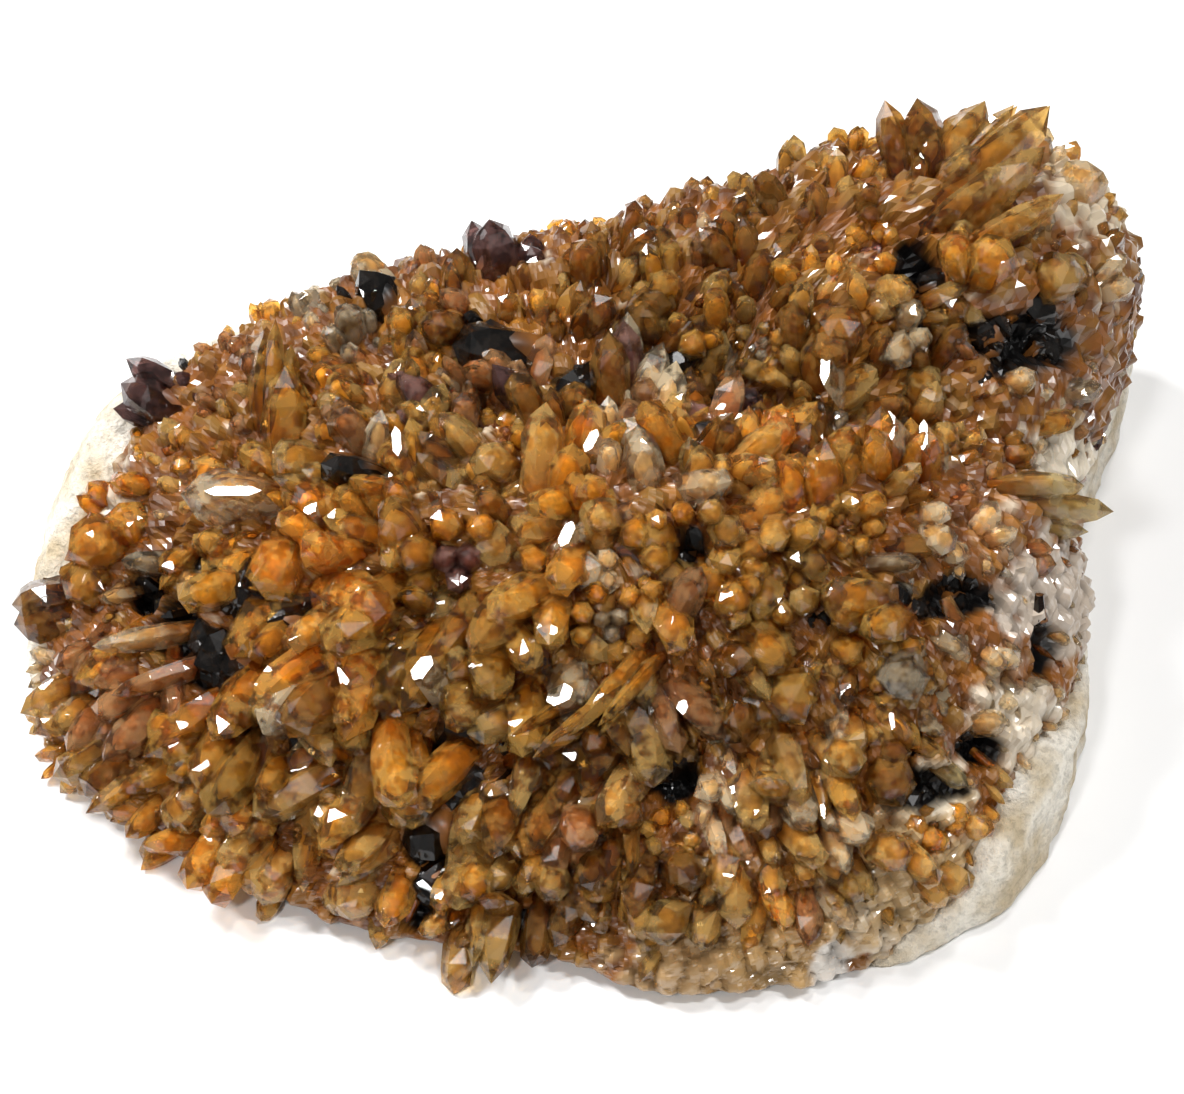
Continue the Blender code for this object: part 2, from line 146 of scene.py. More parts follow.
# Where the crystals stand, as in the part's source: from what level on around the dome, how
# deep they are rooted and how slowly they fan out, how low they go, how much crust they need,
# and the band that has none: from and to a turn, and up to a height.
CRYSTAL_EDGE = (
    (0, 0.36), (25, 0.38), (90, 0.38), (135, 0.38), (155, 0.44), (172, 0.36), (184, 0.10),
    (195, -0.1), (225, -0.2), (270, -0.2), (300, -0.1), (318, 0.10), (334, 0.33),
)
CRYSTAL_EDGE_ROUNDING = 8.0
CRYSTAL_ROOT = 4.0
CRYSTAL_FAN_REACH = 150.0
LOWEST_CRYSTAL = 3.0
THINNEST_COVER = 0.7
FINE_BAND = (262.0, 330.0, 9.0)

# The two growths of crystals between the large ones: the part's own, with the draws of its
# source, and then the small ones that fill what is left. lowest and edge_band are levels over
# CRYSTAL_EDGE, slenderness is length over radius, edge_size is the share of their size that
# is left at the edge, and hang is how much they lean as in the picture.
GROWTHS = (
    {"seed": 20, "candidates": 12000, "spacing": 7.7, "lowest": 0.06, "radius": (2.6, 3.8),
     "slenderness": (2.1, 3.4), "tilt": 0.38, "hang": 0.0, "edge_size": 0.62, "edge_band": (0.08, 0.28),
     "small": False},
    {"seed": 71, "candidates": 34000, "spacing": 2.9, "lowest": -1.0, "radius": (1.8, 3.6),
     "slenderness": (2.5, 4.4), "tilt": 0.75, "hang": 1.0, "edge_size": 0.45, "edge_band": (0.06, 0.46),
     "small": True},
)
# The small ones' least length, and the share of their length that is left at the crust's edge.
FILL_ROOT = 1.2
EDGE_LENGTH = 0.55

# A spire's rings, as height over length and width over radius; the last height is its end.
HABITS = {
    "finger": ((0.0, 0.92), (0.35, 1.0), (0.66, 0.95), (0.86, 0.74), (1.0, 0.0)),
    "tooth": ((0.0, 0.90), (0.30, 1.0), (0.60, 0.94), (0.80, 0.70), (1.0, 0.0)),
    "blade": ((0.0, 0.85), (0.25, 1.0), (0.60, 0.92), (0.84, 0.66), (1.0, 0.0)),
}
# How many of the crystals between the large ones have each habit.
HABIT_SHARES = {"finger": 0.40, "tooth": 0.42, "blade": 0.18}
# A spire's foot, as width over radius, and its outline: a circle with six and with three waves.
FOOT_WIDTH = 0.55
HEXAGON = (0.92, 0.05, 0.04)
BLADE_FLATNESS = 0.6
# How far its points stray at random, as a share of the radius, for the skins and the cores.
UNEVENNESS = 0.085
CORE_UNEVENNESS = 0.15
# A direction that no crystal has, to count the turn of its sides from.
SIDE_GUIDE = (0.31, 0.95, 0.07)

# Camera: it looks along +Y and down on the specimen.
CAMERA_TARGET = (0.0, 0.0, 30.0)
CAMERA_DISTANCE = 500.0
CAMERA_ELEVATION = 50.0
CAMERA_LENS = 95.0
SENSOR_WIDTH = 36.0
# The photo's size in pixels. Every px and py below is a place in it.
PICTURE = (1184, 1094)
# Where a line of sight can meet the dome: nearest and farthest distance, and step.
SIGHT = (350.0, 640.0, 0.1)

# How the small crystals lean in the picture: the middle between those that lean up and down
# it, the reach in pixels over which that turns, and how much they lean sideways.
HANG_MIDDLE = (620.0, 515.0)
HANG_REACH = 100.0
HANG_SIDE = 0.35

# Where one colour of crystal outweighs the others: px, py, reach in pixels, strength, and the
# shares of the colours there.
COLOUR_REGIONS = {
    "upper_lobe": (880, 240, 190, 1.0, {"brown": 0.40, "ochre": 0.30, "amber": 0.20, "rose": 0.10}),
    "top_middle": (540, 310, 120, 1.0, {"brown": 0.45, "rose": 0.20, "violet": 0.10, "amber": 0.25}),
    "left_front": (240, 700, 230, 1.0, {"amber": 0.50, "orange": 0.25, "ochre": 0.25}),
    "centre": (580, 560, 170, 1.0, {"amber": 0.45, "brown": 0.15, "orange": 0.25, "ochre": 0.15}),
    "left_top": (260, 400, 110, 1.0, {"amber": 0.40, "ochre": 0.35, "pale": 0.05, "rose": 0.20}),
    "lower_middle": (560, 820, 150, 1.0, {"brown": 0.32, "ochre": 0.32, "amber": 0.26, "rose": 0.10}),
    "right_edge": (1045, 610, 100, 2.0, {"grey": 0.25, "brown": 0.20, "pale": 0.30, "rose": 0.25}),
    "right_top": (1080, 190, 60, 3.0, {"pale": 0.45, "ochre": 0.30, "rose": 0.25}),
    "lower_right": (890, 890, 120, 7.0, {"amber": 0.18, "ochre": 0.40, "olive": 0.12, "pale": 0.30}),
    "clear_patch": (630, 474, 28, 6.0, {"pale": 0.8, "grey": 0.2}),
    "left_blades": (150, 662, 46, 5.0, {"pale": 0.4, "rose": 0.6}),
    "left_pale_points": (22, 672, 26, 8.0, {"pale": 0.5, "ochre": 0.5}),
    "left_dark_points": (16, 620, 20, 8.0, {"plum": 1.0}),
    "back_left_dark": (157, 386, 26, 7.0, {"plum": 0.7, "black": 0.3}),
    "top_clear": (385, 265, 28, 6.0, {"pale": 1.0}),
    "top_black_spots": (360, 325, 24, 7.0, {"black": 0.5, "grey": 0.5}),
    "violet_chunk": (504, 256, 24, 7.0, {"plum": 0.8, "black": 0.2}),
    "black_chunk": (492, 346, 22, 7.0, {"black": 0.8, "olive": 0.2}),
    "black_strip": (577, 371, 18, 6.0, {"black": 0.9, "grey": 0.1}),
    "violet_spot": (410, 388, 14, 8.0, {"violet": 1.0}),
    "violet_spot_low": (450, 417, 14, 8.0, {"violet": 1.0}),
    "violet_cluster": (724, 408, 18, 6.0, {"plum": 0.5, "violet": 0.5}),
    "lobe_clear": (837, 132, 24, 6.0, {"pale": 0.8, "rose": 0.2}),
    "lobe_black_rim": (1056, 377, 30, 7.0, {"grey": 0.6, "pale": 0.4}),
    "right_pale": (1014, 722, 28, 7.0, {"pale": 0.5, "grey": 0.5}),
    "spray": (650, 690, 60, 3.0, {"brown": 0.4, "ochre": 0.4, "rose": 0.2}),
}
# What every region counts for far away from it.
THINNEST_SHARE = 0.002
# Neighbours share a colour: size and seed of the patches, their contrast, and how much is
# left to chance.
COLOUR_PATCH = (9.0, 21)
PATCH_CONTRAST = 0.8
COLOUR_CHANCE = 0.4
# What is added to the shares of these colours everywhere.
RARE_COLOURS = {"pale": 0.04, "violet": 0.012, "black": 0.008, "grey": 0.012}
# Where the small crystals are finer or coarser: px, py, reach in pixels, and times the size.
FINE_REGIONS = {
    "right_edge": (1050, 600, 75, 0.60),
    "right_top": (1090, 200, 60, 0.60),
    "lower_right": (890, 900, 120, 0.66),
    "low_edge": (690, 960, 80, 0.60),
    "left_edge": (60, 520, 60, 0.70),
    "left_front": (350, 650, 170, 1.35),
    "centre": (600, 600, 130, 1.20),
    "upper_lobe": (1000, 240, 70, 1.40),
}
# Where the crust itself is pale: px, py, reach in pixels, and tint.
PALE_CRUST = {
    "cream_ledge": (1055, 462, 38, "#D9CDB8"),
    "broken_edge": (1046, 600, 62, "#B9AA9A"),
    "broken_low": (1010, 722, 46, "#C9BBA6"),
    "druse_edge": (1095, 190, 52, "#D2C2A8"),
    "pale_rim": (930, 795, 40, "#D6C8B0"),
    "white_vein": (872, 915, 48, "#CFC0A8"),
    "fine_band": (690, 960, 70, "#A8875C"),
    "low_crust": (800, 975, 80, "#A88656"),
    "low_vein": (830, 960, 26, "#D2CAC0"),
    "lower_right": (930, 900, 90, "#B0946A"),
    "left_edge": (70, 500, 60, "#CDBFA8"),
}

# A small crystal is left out where its root or its middle is inside one of the table's: at
# these shares of its length, and so near over its radius.
NAMED_SHARES = (0.35, 0.6, 0.85)
NAMED_CLEAR = 1.15
MIDDLE_SHARE = 0.6

# Satellites: thinner and mostly shorter crystals beside each of the part's own.
SATELLITES = 2
SATELLITE_SEED = 5
SATELLITE_OFFSET = (0.5, 1.1)
SATELLITE_LEAN = (0.0, 0.45)
BLADE_LEAN = 0.4
SATELLITE_HANG = 0.7
SATELLITE_WIDTH = (0.55, 0.88)
SATELLITE_LENGTH = (0.6, 1.1)

# Rings of honey crystals around a darker one: px, py, radius, colour of the inside, and its
# height as a share of the ring's.
RINGS = {
    "brown_ring": (848, 527, 3.6, "brown", 0.7),
    "slit_ring": (732, 688, 3.4, "black", 0.3),
    "green_ring": (898, 678, 3.6, "olive", 0.9),
    "low_ring": (674, 836, 3.2, "black", 0.3),
    "rose_ring": (503, 445, 3.2, "rose", 0.7),
    "bead_ring": (763, 348, 3.2, "grey", 0.8),
    "silver_ring": (610, 622, 4.2, "grey", 0.9),
    "star_ring": (874, 256, 3.2, "violet", 0.4),
    "lowest_ring": (930, 816, 3.2, "brown", 0.5),
}
RING_SEED = 9
RING_HEIGHT = 1.5
RING_CRYSTALS = 8
RING_WIDTH = (0.42, 0.72)
RING_LENGTH = (0.65, 1.15)
RING_LEAN = (0.15, 0.45)
RING_STRAY = 0.25
RING_PLACE = (0.86, 1.02)
RING_COLOURS = ("amber", "ochre", "orange")
# The crystals inside a ring: how many, how far from its middle, their lean and width, and
# their height in the table's own rings.
RING_INNER = 3
RING_INNER_PLACE = 0.3
RING_INNER_LEAN = 0.1
RING_INNER_WIDTH = 0.42
RING_INNER_HEIGHTS = {"violet": 0.95, "black": 0.35}
# What stands in a ring's way: the places along a crystal that are looked at, where the ring's
# middle is over its height, and how near is too near over its radius.
RING_SHARES = (0.4, 0.7, 1.0)
RING_MIDDLE = 0.8
RING_CLEAR = 1.3

# Clean flat faces that flash in the photo: px, py, width, length, the way the length runs in
# the picture, from its right, and the height over the dome.
FLASHING_FACES = {
    "lobe_long": (822, 362, 1.6, 9.5, 95.0, 8.0),
    "valley_left": (878, 432, 2.2, 6.0, 96.0, 17.0),
    "valley_right": (914, 438, 1.4, 5.4, 98.0, 14.0),
    "left_long": (240, 492, 1.7, 10.0, -8.0, 10.5),
    "left_tooth": (400, 443, 1.5, 5.6, 104.0, 9.0),
    "middle": (591, 442, 1.7, 4.2, 70.0, 8.0),
    "front_left": (427, 664, 2.6, 4.6, 60.0, 14.5),
    "front_middle": (560, 692, 3.0, 4.6, 20.0, 8.5),
    "centre": (567, 534, 2.0, 4.6, 75.0, 9.0),
    "left_bead": (315, 508, 2.0, 2.6, 90.0, 9.0),
}
# How deep they are rooted, how much wider their foot is, and half the length of their sides.
FACE_ROOT = 2.5
FACE_FLARE = 1.3
FACE_SHOULDER = 0.3

# Dark pockets between the crystals: px, py, half-width across and half-height up the picture,
# and depth.
POCKETS = {
    "left_upper": (152, 592, 3.2, 3.8, 6.0),
    "left_middle": (182, 628, 3.6, 4.4, 7.0),
    "left_lower": (216, 670, 4.8, 3.6, 7.0),
    "square_hole": (302, 774, 2.8, 3.8, 7.0),
    "vertical_pocket": (449, 762, 2.8, 4.8, 8.0),
    "sparkle_pocket": (440, 852, 4.2, 3.2, 5.0),
    "low_pocket": (421, 905, 2.2, 3.6, 4.0),
    "low_slit": (520, 918, 4.6, 1.8, 4.0),
    "lobe_gap": (914, 275, 4.2, 5.4, 6.0),
    "lobe_black": (1030, 340, 9.5, 4.8, 7.0),
    "right_pocket": (956, 596, 6.4, 3.2, 5.0),
    "right_slit": (1041, 649, 2.6, 4.4, 6.0),
    "right_low": (979, 749, 3.6, 3.0, 5.0),
    "low_cavity": (912, 788, 6.4, 3.0, 5.0),
    "centre_oval": (690, 556, 2.6, 3.2, 6.0),
    "centre_low": (676, 778, 4.0, 3.6, 5.0),
    "top_dark": (718, 408, 4.6, 3.0, 3.5),
}
# Their ragged edges: size and seed, and how ragged they are.
POCKET_GRAIN = (3.0, 51)
POCKET_RAGGEDNESS = 0.6
# The crystals that a pocket sinks: from what depth on, at the root or at this share of the
# length, how much it counts there, and how much farther the pocket reaches to the camera.
SUNK_DEPTH = 1.5
TIP_SHARE = 0.75
TIP_WEIGHT = 0.9
TIP_REACH = 12.0
# How far they sink, as a share of the depth, and how much shorter and wider they get.
SUNK_SHARE = 0.9
SUNK_LENGTH = 0.5
SUNK_WIDTH = 1.4

# The crystals' coloured cores and clear skins, with the share of the width and of the length
# that a core takes.
CORE_COLOURS = {
    "amber": "#DCB24C", "orange": "#D6AA4A", "ochre": "#CEAA60", "brown": "#A87A3C", "rose": "#BC9068",
    "pale": "#E2BC80", "olive": "#A89058", "grey": "#A08864", "violet": "#8A5448", "black": "#0E0C0B",
    "plum": "#48302E",
}
SKIN_COLOURS = {
    "amber": "#E4B058", "orange": "#E0A44A", "ochre": "#DCB268", "brown": "#AE7C3A", "rose": "#C69462",
    "pale": "#F2DCB4", "olive": "#CDB987", "grey": "#D2C0A2", "violet": "#B08478", "black": "#2E2824",
    "plum": "#6E4E4A",
}
CORE_WIDTHS = {"black": 0.94, "plum": 0.85, "violet": 0.80, "pale": 0.60, "grey": 0.55}
CORE_WIDTH = 0.66
CORE_REACH = 0.80
# What the tints start from at the root, darker as iron stain and as painted shade where the crystals crowd
# into the crust, how much of it a core has, and by what height it is gone.
ROOT_STAIN_AND_SHADE = "#B4702C"
SKIN_ROOT_STAIN_AND_SHADE = "#C8A070"
ROOT_SHARE = 0.5
TINT_RISE = (0.0, 0.62)
# How much lighter and darker the crystals are from patch to patch, and the patches' size and seed.
TONE_RANGE = 0.35
TONE_PATCH = (13.0, 31)

# The crust between the crystals: height, size and seed of its cobbles, of its grains and of
# the dust on them, how far it stands out, what is taken off where it is broken away, its
# lowest point, and the height over the floor from which on its relief is whole.
COBBLES = (2.4, 2.6, 3)
GRAINS = (0.6, 1.2, 5)
DUST = (0.5, 0.9, 6)
CRUST_SETTLE = 0.2
CRUST_WITHDRAWN = 5.0
CRUST_FOOT = 0.45
CRUST_RISE = 2.0
# How far the cobbles are drawn out up the picture: 1 is not at all.
CRUST_STRETCH = 0.85
CRUST_COLOURS = ("#A8641C", "#96581C", "#7E4C24", "#B47628", "#9C5E20", "#704018", "#A87A38", "#9C6828")
# Painted shade: the colour of the hollows between the cobbles, and the black of the pockets.
CRUST_HOLLOW_SHADE = "#7A4C1E"
CRUST_POCKET_SHADE = "#070606"
CRUST_DULLNESS = 0.62
# Heights of a cobble, between which the painted shade in its hollows gives way to its own tone, and depths
# of a pocket, between which painted shade turns the crust black.
HOLLOW_SHADE_BAND = (0.30, 0.85)
POCKET_SHADE_BAND = (0.8, 2.6)
# Pale crust: size and seed of its ragged edge, how ragged it is, how much the cobbles count and from what
# height on, where it turns, and how dark the painted shade in its hollows between the cobbles is.
PALE_GRAIN = (2.2, 41)
PALE_RAGGEDNESS = 0.35
PALE_COBBLES = 0.2
PALE_LEVEL = 0.6
PALE_BAND = (0.28, 0.62)
PALE_HOLLOW_SHADE = 0.55

# The bare rock: height, size and seed of its swells, lumps and grains, and the height over
# the floor from which on they are whole.
ROCK_SWELLS = (1.2, 8.0, 11)
ROCK_LUMPS = (1.1, 4.2, 12)
ROCK_GRAINS = (0.6, 1.9, 13)
ROCK_RISE = 1.5

# Steps around and up the domes, and the sides of the crystals' cores and skins.
CRUST_STEPS = (620, 150)
ROCK_STEPS = (420, 130)
LARGE_CORE_SIDES = 12
SMALL_CORE_SIDES = 7
SKIN_SIDES = 6
# Seeds of their unevenness, the same for a core and its skin.
LARGE_SEED = 1
SMALL_SEED = 11

# Sizes of the materials' patterns: the crystals' growth faces, the veils in their clear skins,
# the clouds in their cores, the rock's stains and its grains.
GROWTH_FACE = 2.4
VEIL_SIZE = 3.0
CLOUD_SIZE = 2.0
STAIN_SIZE = 8.0
ROCK_GRAIN = 1.4
# How clear a skin is, from its densest veil to where it has none.
SKIN_CLEARNESS = (0.60, 0.95)
# How far a skin's growth faces are turned, as a share of their normal's length, and how much
# a skin absorbs, per metre.
FACE_TURN = 0.40
ABSORPTION = 220.0

# The lamps: place and size in metres, and power in watts.
LAMPS = {
    "window": ((-0.62, 0.30, 0.82), (0.24, 0.28), 12.0),
    "strip": ((0.42, -0.10, 0.90), (0.06, 0.30), 4.2),
    "front_left": ((-0.28, -0.62, 0.80), (0.11, 0.11), 3.4),
    "overhead": ((0.18, 0.30, 1.05), (0.12, 0.10), 2.6),
}
# How much light the sky gives, and how pale it is behind the specimen.
SKY_LIGHT = 0.16
SKY_SEEN = 1.05
# In metres: as far as the lamps light it, so that it has no dark horizon.
FLOOR_SIZE = 1.4


def linear(code):
    """Linear colour from an sRGB hex code, by the sRGB curve: a straight run near black and a
    power of 2.4 above it."""
    shares = [int(code[k:k + 2], 16) / 255.0 for k in (1, 3, 5)]
    return tuple(s / 12.92 if s <= 0.04045 else ((s + 0.055) / 1.055) ** 2.4 for s in shares)


def around(table, degrees, rounding):
    """Value of a closed curve at an angle: straight runs between the table's points,
    averaged over a small arc to each side so that they turn softly."""
    angles, values = np.array(table, dtype=float).T
    arc = np.linspace(-rounding, rounding, ARC_STEPS)
    return np.mean([np.interp(degrees + k, angles, values, period=360.0) for k in arc], axis=0)


def ramp(value, start, end):
    """0 below start, 1 above end, and a smooth S between them."""
    t = np.clip((value - start) / (end - start), 0.0, 1.0)
    return t * t * (3.0 - 2.0 * t)


def unit(vectors):
    """The vectors, each over its own length."""
    return vectors / np.linalg.norm(vectors, axis=-1, keepdims=True)


def beside(axes, turn, flat=1.0):
    """Vectors across the axes, turned about them: points of a circle, or of an ellipse that is
    flat times as wide one way."""
    side = unit(np.cross(axes, SIDE_GUIDE))
    other = np.cross(axes, side)
    return np.cos(turn)[..., None] * side + flat * np.sin(turn)[..., None] * other


def mound(x, y, shape):
    """A round hill: its height times a bell curve of the distance from its middle, measured in
    its half-widths."""
    mid_x, mid_y, wide, deep, high = shape
    return high * np.exp(-((x - mid_x) / wide) ** 2 - ((y - mid_y) / deep) ** 2)


def lumps(x, y):
    """Broad waves for the uneven growth of the crust: for each length a sine along one line
    times a cosine along another, each turned from the one before."""
    total = 0.0
    for number, length in enumerate(LUMP_LENGTHS):
        first, second = (turn * number for turn in LUMP_TURNS)
        along = x * math.cos(first) + y * math.sin(first)
        across = y * math.cos(second) - x * math.sin(second)
        wave = np.sin(math.tau * along / length + number)
        total = total + wave * np.cos(math.tau * across / length)
    return LUMP_HEIGHT * total


def plateau(x, y):
    """Height of the crust's top over the base: a tilted plane with two lobes and lumps, less a
    valley and a drop at the right end."""
    plane = PLATEAU_HEIGHT + PLATEAU_RISE_X * x + PLATEAU_RISE_Y * (y - PLATEAU_LEVEL_Y)
    valley_line = VALLEY_Y + VALLEY_TURN * x
    bowl = np.exp(-((y - valley_line) / VALLEY_WIDTH) ** 2)
    valley = VALLEY_DEPTH * bowl * ramp(x, *VALLEY_START)
    end_drop = RIGHT_END_DROP * ramp(x, *RIGHT_END)
    lobes = mound(x, y, FRONT_LOBE) + mound(x, y, BACK_LOBE)
    return plane + lobes - valley - end_drop + lumps(x, y)


def surface(degrees, level, inset=0.0, drop=0.0):
    """Points of the dome, as an array (..., 3), in mm. level runs from 0 at the base to 1 at
    the middle of the top, as the angle along a superellipse with the outline's radius and the
    plateau's height; inset and drop draw it in from the side and from above."""
    power = around(SHOULDER, degrees, SHOULDER_ROUNDING)
    rise = np.clip(level, 0.0, 1.0) * math.pi / 2
    across, up = np.cos(rise).clip(0.0), np.sin(rise)
    size = (across ** power + up ** power) ** (-1.0 / power)
    radius = (around(OUTLINE, degrees, OUTLINE_ROUNDING) - inset) * across * size
    x = radius * np.cos(np.radians(degrees))
    y = radius * np.sin(np.radians(degrees))
    z = (plateau(x, y) - drop) * up * size
    return np.stack((x, y, z), axis=-1)


def over(x, y):
    """Degrees and level at which the dome passes over a place of the plan: the superellipse
    solved for its angle."""
    degrees = np.degrees(np.arctan2(y, x)) % 360.0
    share = np.hypot(x, y) / around(OUTLINE, degrees, OUTLINE_ROUNDING)
    power = around(SHOULDER, degrees, SHOULDER_ROUNDING)
    slope = (np.clip(share, SMALLEST_SHARE, 1.0) ** -power - 1.0) ** (1.0 / power)
    return degrees, np.arctan(slope) / (math.pi / 2)


def crust_cover(degrees, level):
    """1 where the crust covers the rock, 0 where it is broken away, smooth between."""
    edge = around(CRUST_EDGE, degrees, CRUST_EDGE_ROUNDING)
    return ramp(level, edge, edge + CRUST_EDGE_WIDTH)


def rock_surface(degrees, level):
    """The rock's skin: the dome drawn in under the crust, a little proud where it is bare."""
    cover = crust_cover(degrees, level)
    depth = cover * CRUST_THICKNESS - (1.0 - cover) * ROCK_PROUD
    return surface(degrees, level, depth, depth)


def facing(degrees, level):
    """Outward normals of the dome, as long as the area that a step of both parameters covers,
    from the cross product of its two tangents."""
    level = np.clip(level, *NORMAL_LEVELS)
    turn = surface(degrees + TURN_STEP, level) - surface(degrees - TURN_STEP, level)
    climb = surface(degrees, level + LEVEL_STEP) - surface(degrees, level - LEVEL_STEP)
    return np.cross(turn, climb)


def heading(azimuth, climb):
    """Unit vector from a heading in the plan and a climb above it, in degrees."""
    turn, up = math.radians(azimuth), math.radians(climb)
    return np.array((math.cos(up) * math.cos(turn), math.cos(up) * math.sin(turn), math.sin(up)))


def picture_axes():
    """Unit vectors of the picture: to its right, up it, and from the object to the camera."""
    down = math.radians(CAMERA_ELEVATION)
    back = np.array((0.0, -math.cos(down), math.sin(down)))
    right = np.array((1.0, 0.0, 0.0))
    return right, np.cross(back, right), back


def eye():
    """The camera's place: its distance back from its target."""
    return np.array(CAMERA_TARGET) + CAMERA_DISTANCE * picture_axes()[2]


def focus():
    """The camera's focus in pixels of the photo: its lens over its sensor's width, times the
    picture's."""
    return CAMERA_LENS / SENSOR_WIDTH * PICTURE[0]


def sight(px, py):
    """Unit vector from the camera through a pixel of the photo: the pixel's offset from the
    picture's middle over the focus, and one ahead."""
    right, up, back = picture_axes()
    line = (px - PICTURE[0] / 2) / focus() * right + (PICTURE[1] / 2 - py) / focus() * up - back
    return line / np.linalg.norm(line)


def in_picture(points):
    """The photo's pixels of points, as two arrays: how far each one is to the right and up,
    over how far it is ahead, times the focus, from the picture's middle."""
    right, up, back = picture_axes()
    away = points - eye()
    depth = -(away @ back)
    px = PICTURE[0] / 2 + focus() * (away @ right) / depth
    return px, PICTURE[1] / 2 - focus() * (away @ up) / depth


def seen_at(px, py):
    """The place of the dome that a pixel of the photo shows: the camera's line of sight is
    followed in short steps until it is under the dome."""
    points = eye() + np.arange(*SIGHT)[:, None] * sight(px, py)
    degrees, level = over(points[:, 0], points[:, 1])
    inside = np.hypot(points[:, 0], points[:, 1]) < around(OUTLINE, degrees, OUTLINE_ROUNDING)
    under = inside & (points[:, 2] < surface(degrees, level)[:, 2]) & (points[:, 2] > 0.0)
    return points[np.flatnonzero(under)[0]]


def scattered(cells, seed):
    """A number from 0 to 1 for each row of whole numbers, alike at every run: the part after
    the point of a large sine."""
    mixed = np.sin(cells @ np.array((12.9898, 78.233, 37.719)) + 4.17 * seed) * 43758.5453
    return mixed - np.floor(mixed)


def cobbles(points, size, seed):
    """Height from 0 to 1 of rounded cobbles, one about a random spot in each cube of a grid:
    one less the squared distance to the nearest spot, over the square of the size. Also a
    number from 0 to 1 for each cobble."""
    grid = points / size
    base = np.floor(grid)
    nearest = np.full(len(points), 9.0)
    mark = np.zeros(len(points))
    for step in np.ndindex(3, 3, 3):
        cell = base + np.array(step) - 1.0
        spot = cell + np.stack([scattered(cell, seed + k) for k in range(3)], axis=1)
        away = ((spot - grid) ** 2).sum(axis=1)
        mark = np.where(away < nearest, scattered(cell, seed + 3), mark)
        nearest = np.minimum(nearest, away)
    return 1.0 - nearest.clip(0.0, 1.0), mark


def drift(points, size, seed):
    """Smooth random values from -1 to 1: one at each corner of a grid of cubes, and blended
    between the corners with an S-shaped weight along each axis."""
    grid = points / size
    base = np.floor(grid)
    share = grid - base
    share = share * share * (3.0 - 2.0 * share)
    total = np.zeros(len(points))
    for step in np.ndindex(2, 2, 2):
        corner = np.array(step)
        weight = np.where(corner == 1, share, 1.0 - share).prod(axis=1)
        total += weight * scattered(base + corner, seed)
    return 2.0 * total - 1.0


def hanging(points):
    """How the small crystals lean in the photo, as a vector each: up the picture in its upper
    half and down it in its lower half, and a little away from its middle."""
    right, up = picture_axes()[:2]
    px, py = in_picture(points)
    rise = np.clip((HANG_MIDDLE[1] - py) / HANG_REACH, -1.0, 1.0)
    side = HANG_SIDE * np.clip((px - HANG_MIDDLE[0]) / HANG_REACH, -1.0, 1.0)
    return rise[:, None] * up + side[:, None] * right


def near_regions(points, regions):
    """How near each point is to each region of a table, from 0 far away to 1 at its middle: a
    bell curve of its distance in the picture over the region's reach."""
    px, py = in_picture(points)
    return [np.exp(-((px - row[0]) ** 2 + (py - row[1]) ** 2) / row[2] ** 2) for row in regions.values()]


def fineness(points):
    """How many times the usual size the small crystals are at each point: each region's own
    size, as far as the point is near it, and all of them multiplied."""
    times = [row[3] for row in FINE_REGIONS.values()]
    shares = [1.0 - (1.0 - size) * near for size, near in zip(times, near_regions(points, FINE_REGIONS))]
    return np.prod(shares, axis=0)


def pocket_depth(points, reach_out=0.0):
    """How far the crust sinks at each point: a smooth bowl about each pocket's middle, as wide
    across and up the picture as the table gives, and as far towards the camera as its width,
    its height and reach_out together."""
    right, up, back = picture_axes()
    total = np.zeros(len(points))
    ragged = 1.0 + POCKET_RAGGEDNESS * drift(points, *POCKET_GRAIN)
    for px, py, wide, high, deep in POCKETS.values():
        away = points - seen_at(px, py)
        reach = (away @ right / wide) ** 2 + (away @ up / high) ** 2
        reach += (away @ back / (wide + high + reach_out)) ** 2
        total = np.maximum(total, deep * np.exp(-(ragged * reach) ** 2))
    return total


def crystal_sites(taken, spacing, lowest, candidates, random):
    """Degrees, level and place of the crystals: random places on the crust, evenly spread
    by area, of which each is kept if it is a spacing away from all those kept before."""
    degrees = random.uniform(0.0, 360.0, candidates)
    level = random.uniform(0.0, 1.0, candidates)
    area = np.linalg.norm(facing(degrees, level), axis=1)
    drawn = random.choice(candidates, candidates, p=area / area.sum())
    degrees, level = degrees[drawn], level[drawn]
    places = surface(degrees, level)
    band_start, band_end, band_height = FINE_BAND
    band = (degrees > band_start) & (degrees < band_end) & (places[:, 2] < band_height)
    covered = crust_cover(degrees, level) > THINNEST_COVER
    covered &= level > around(CRYSTAL_EDGE, degrees, CRYSTAL_EDGE_ROUNDING) + lowest
    fit = covered & ~band & (places[:, 2] > LOWEST_CRYSTAL)
    kept = []
    filled = np.empty((len(taken) + fit.sum(), 3))
    count = len(taken)
    filled[:count] = taken
    for site in np.flatnonzero(fit):
        if np.linalg.norm(filled[:count] - places[site], axis=1).min() > spacing:
            kept.append(site)
            filled[count] = places[site]
            count += 1
    return degrees[kept], level[kept], places[kept]


def crystal_directions(degrees, level, places, tilt, random):
    """The dome's normals, fanned out from its centre, and each tilted at random."""
    fan = places * (1.0, 1.0, 0.0) / CRYSTAL_FAN_REACH
    return unit(unit(facing(degrees, level)) + fan + random.normal(0.0, tilt, places.shape))


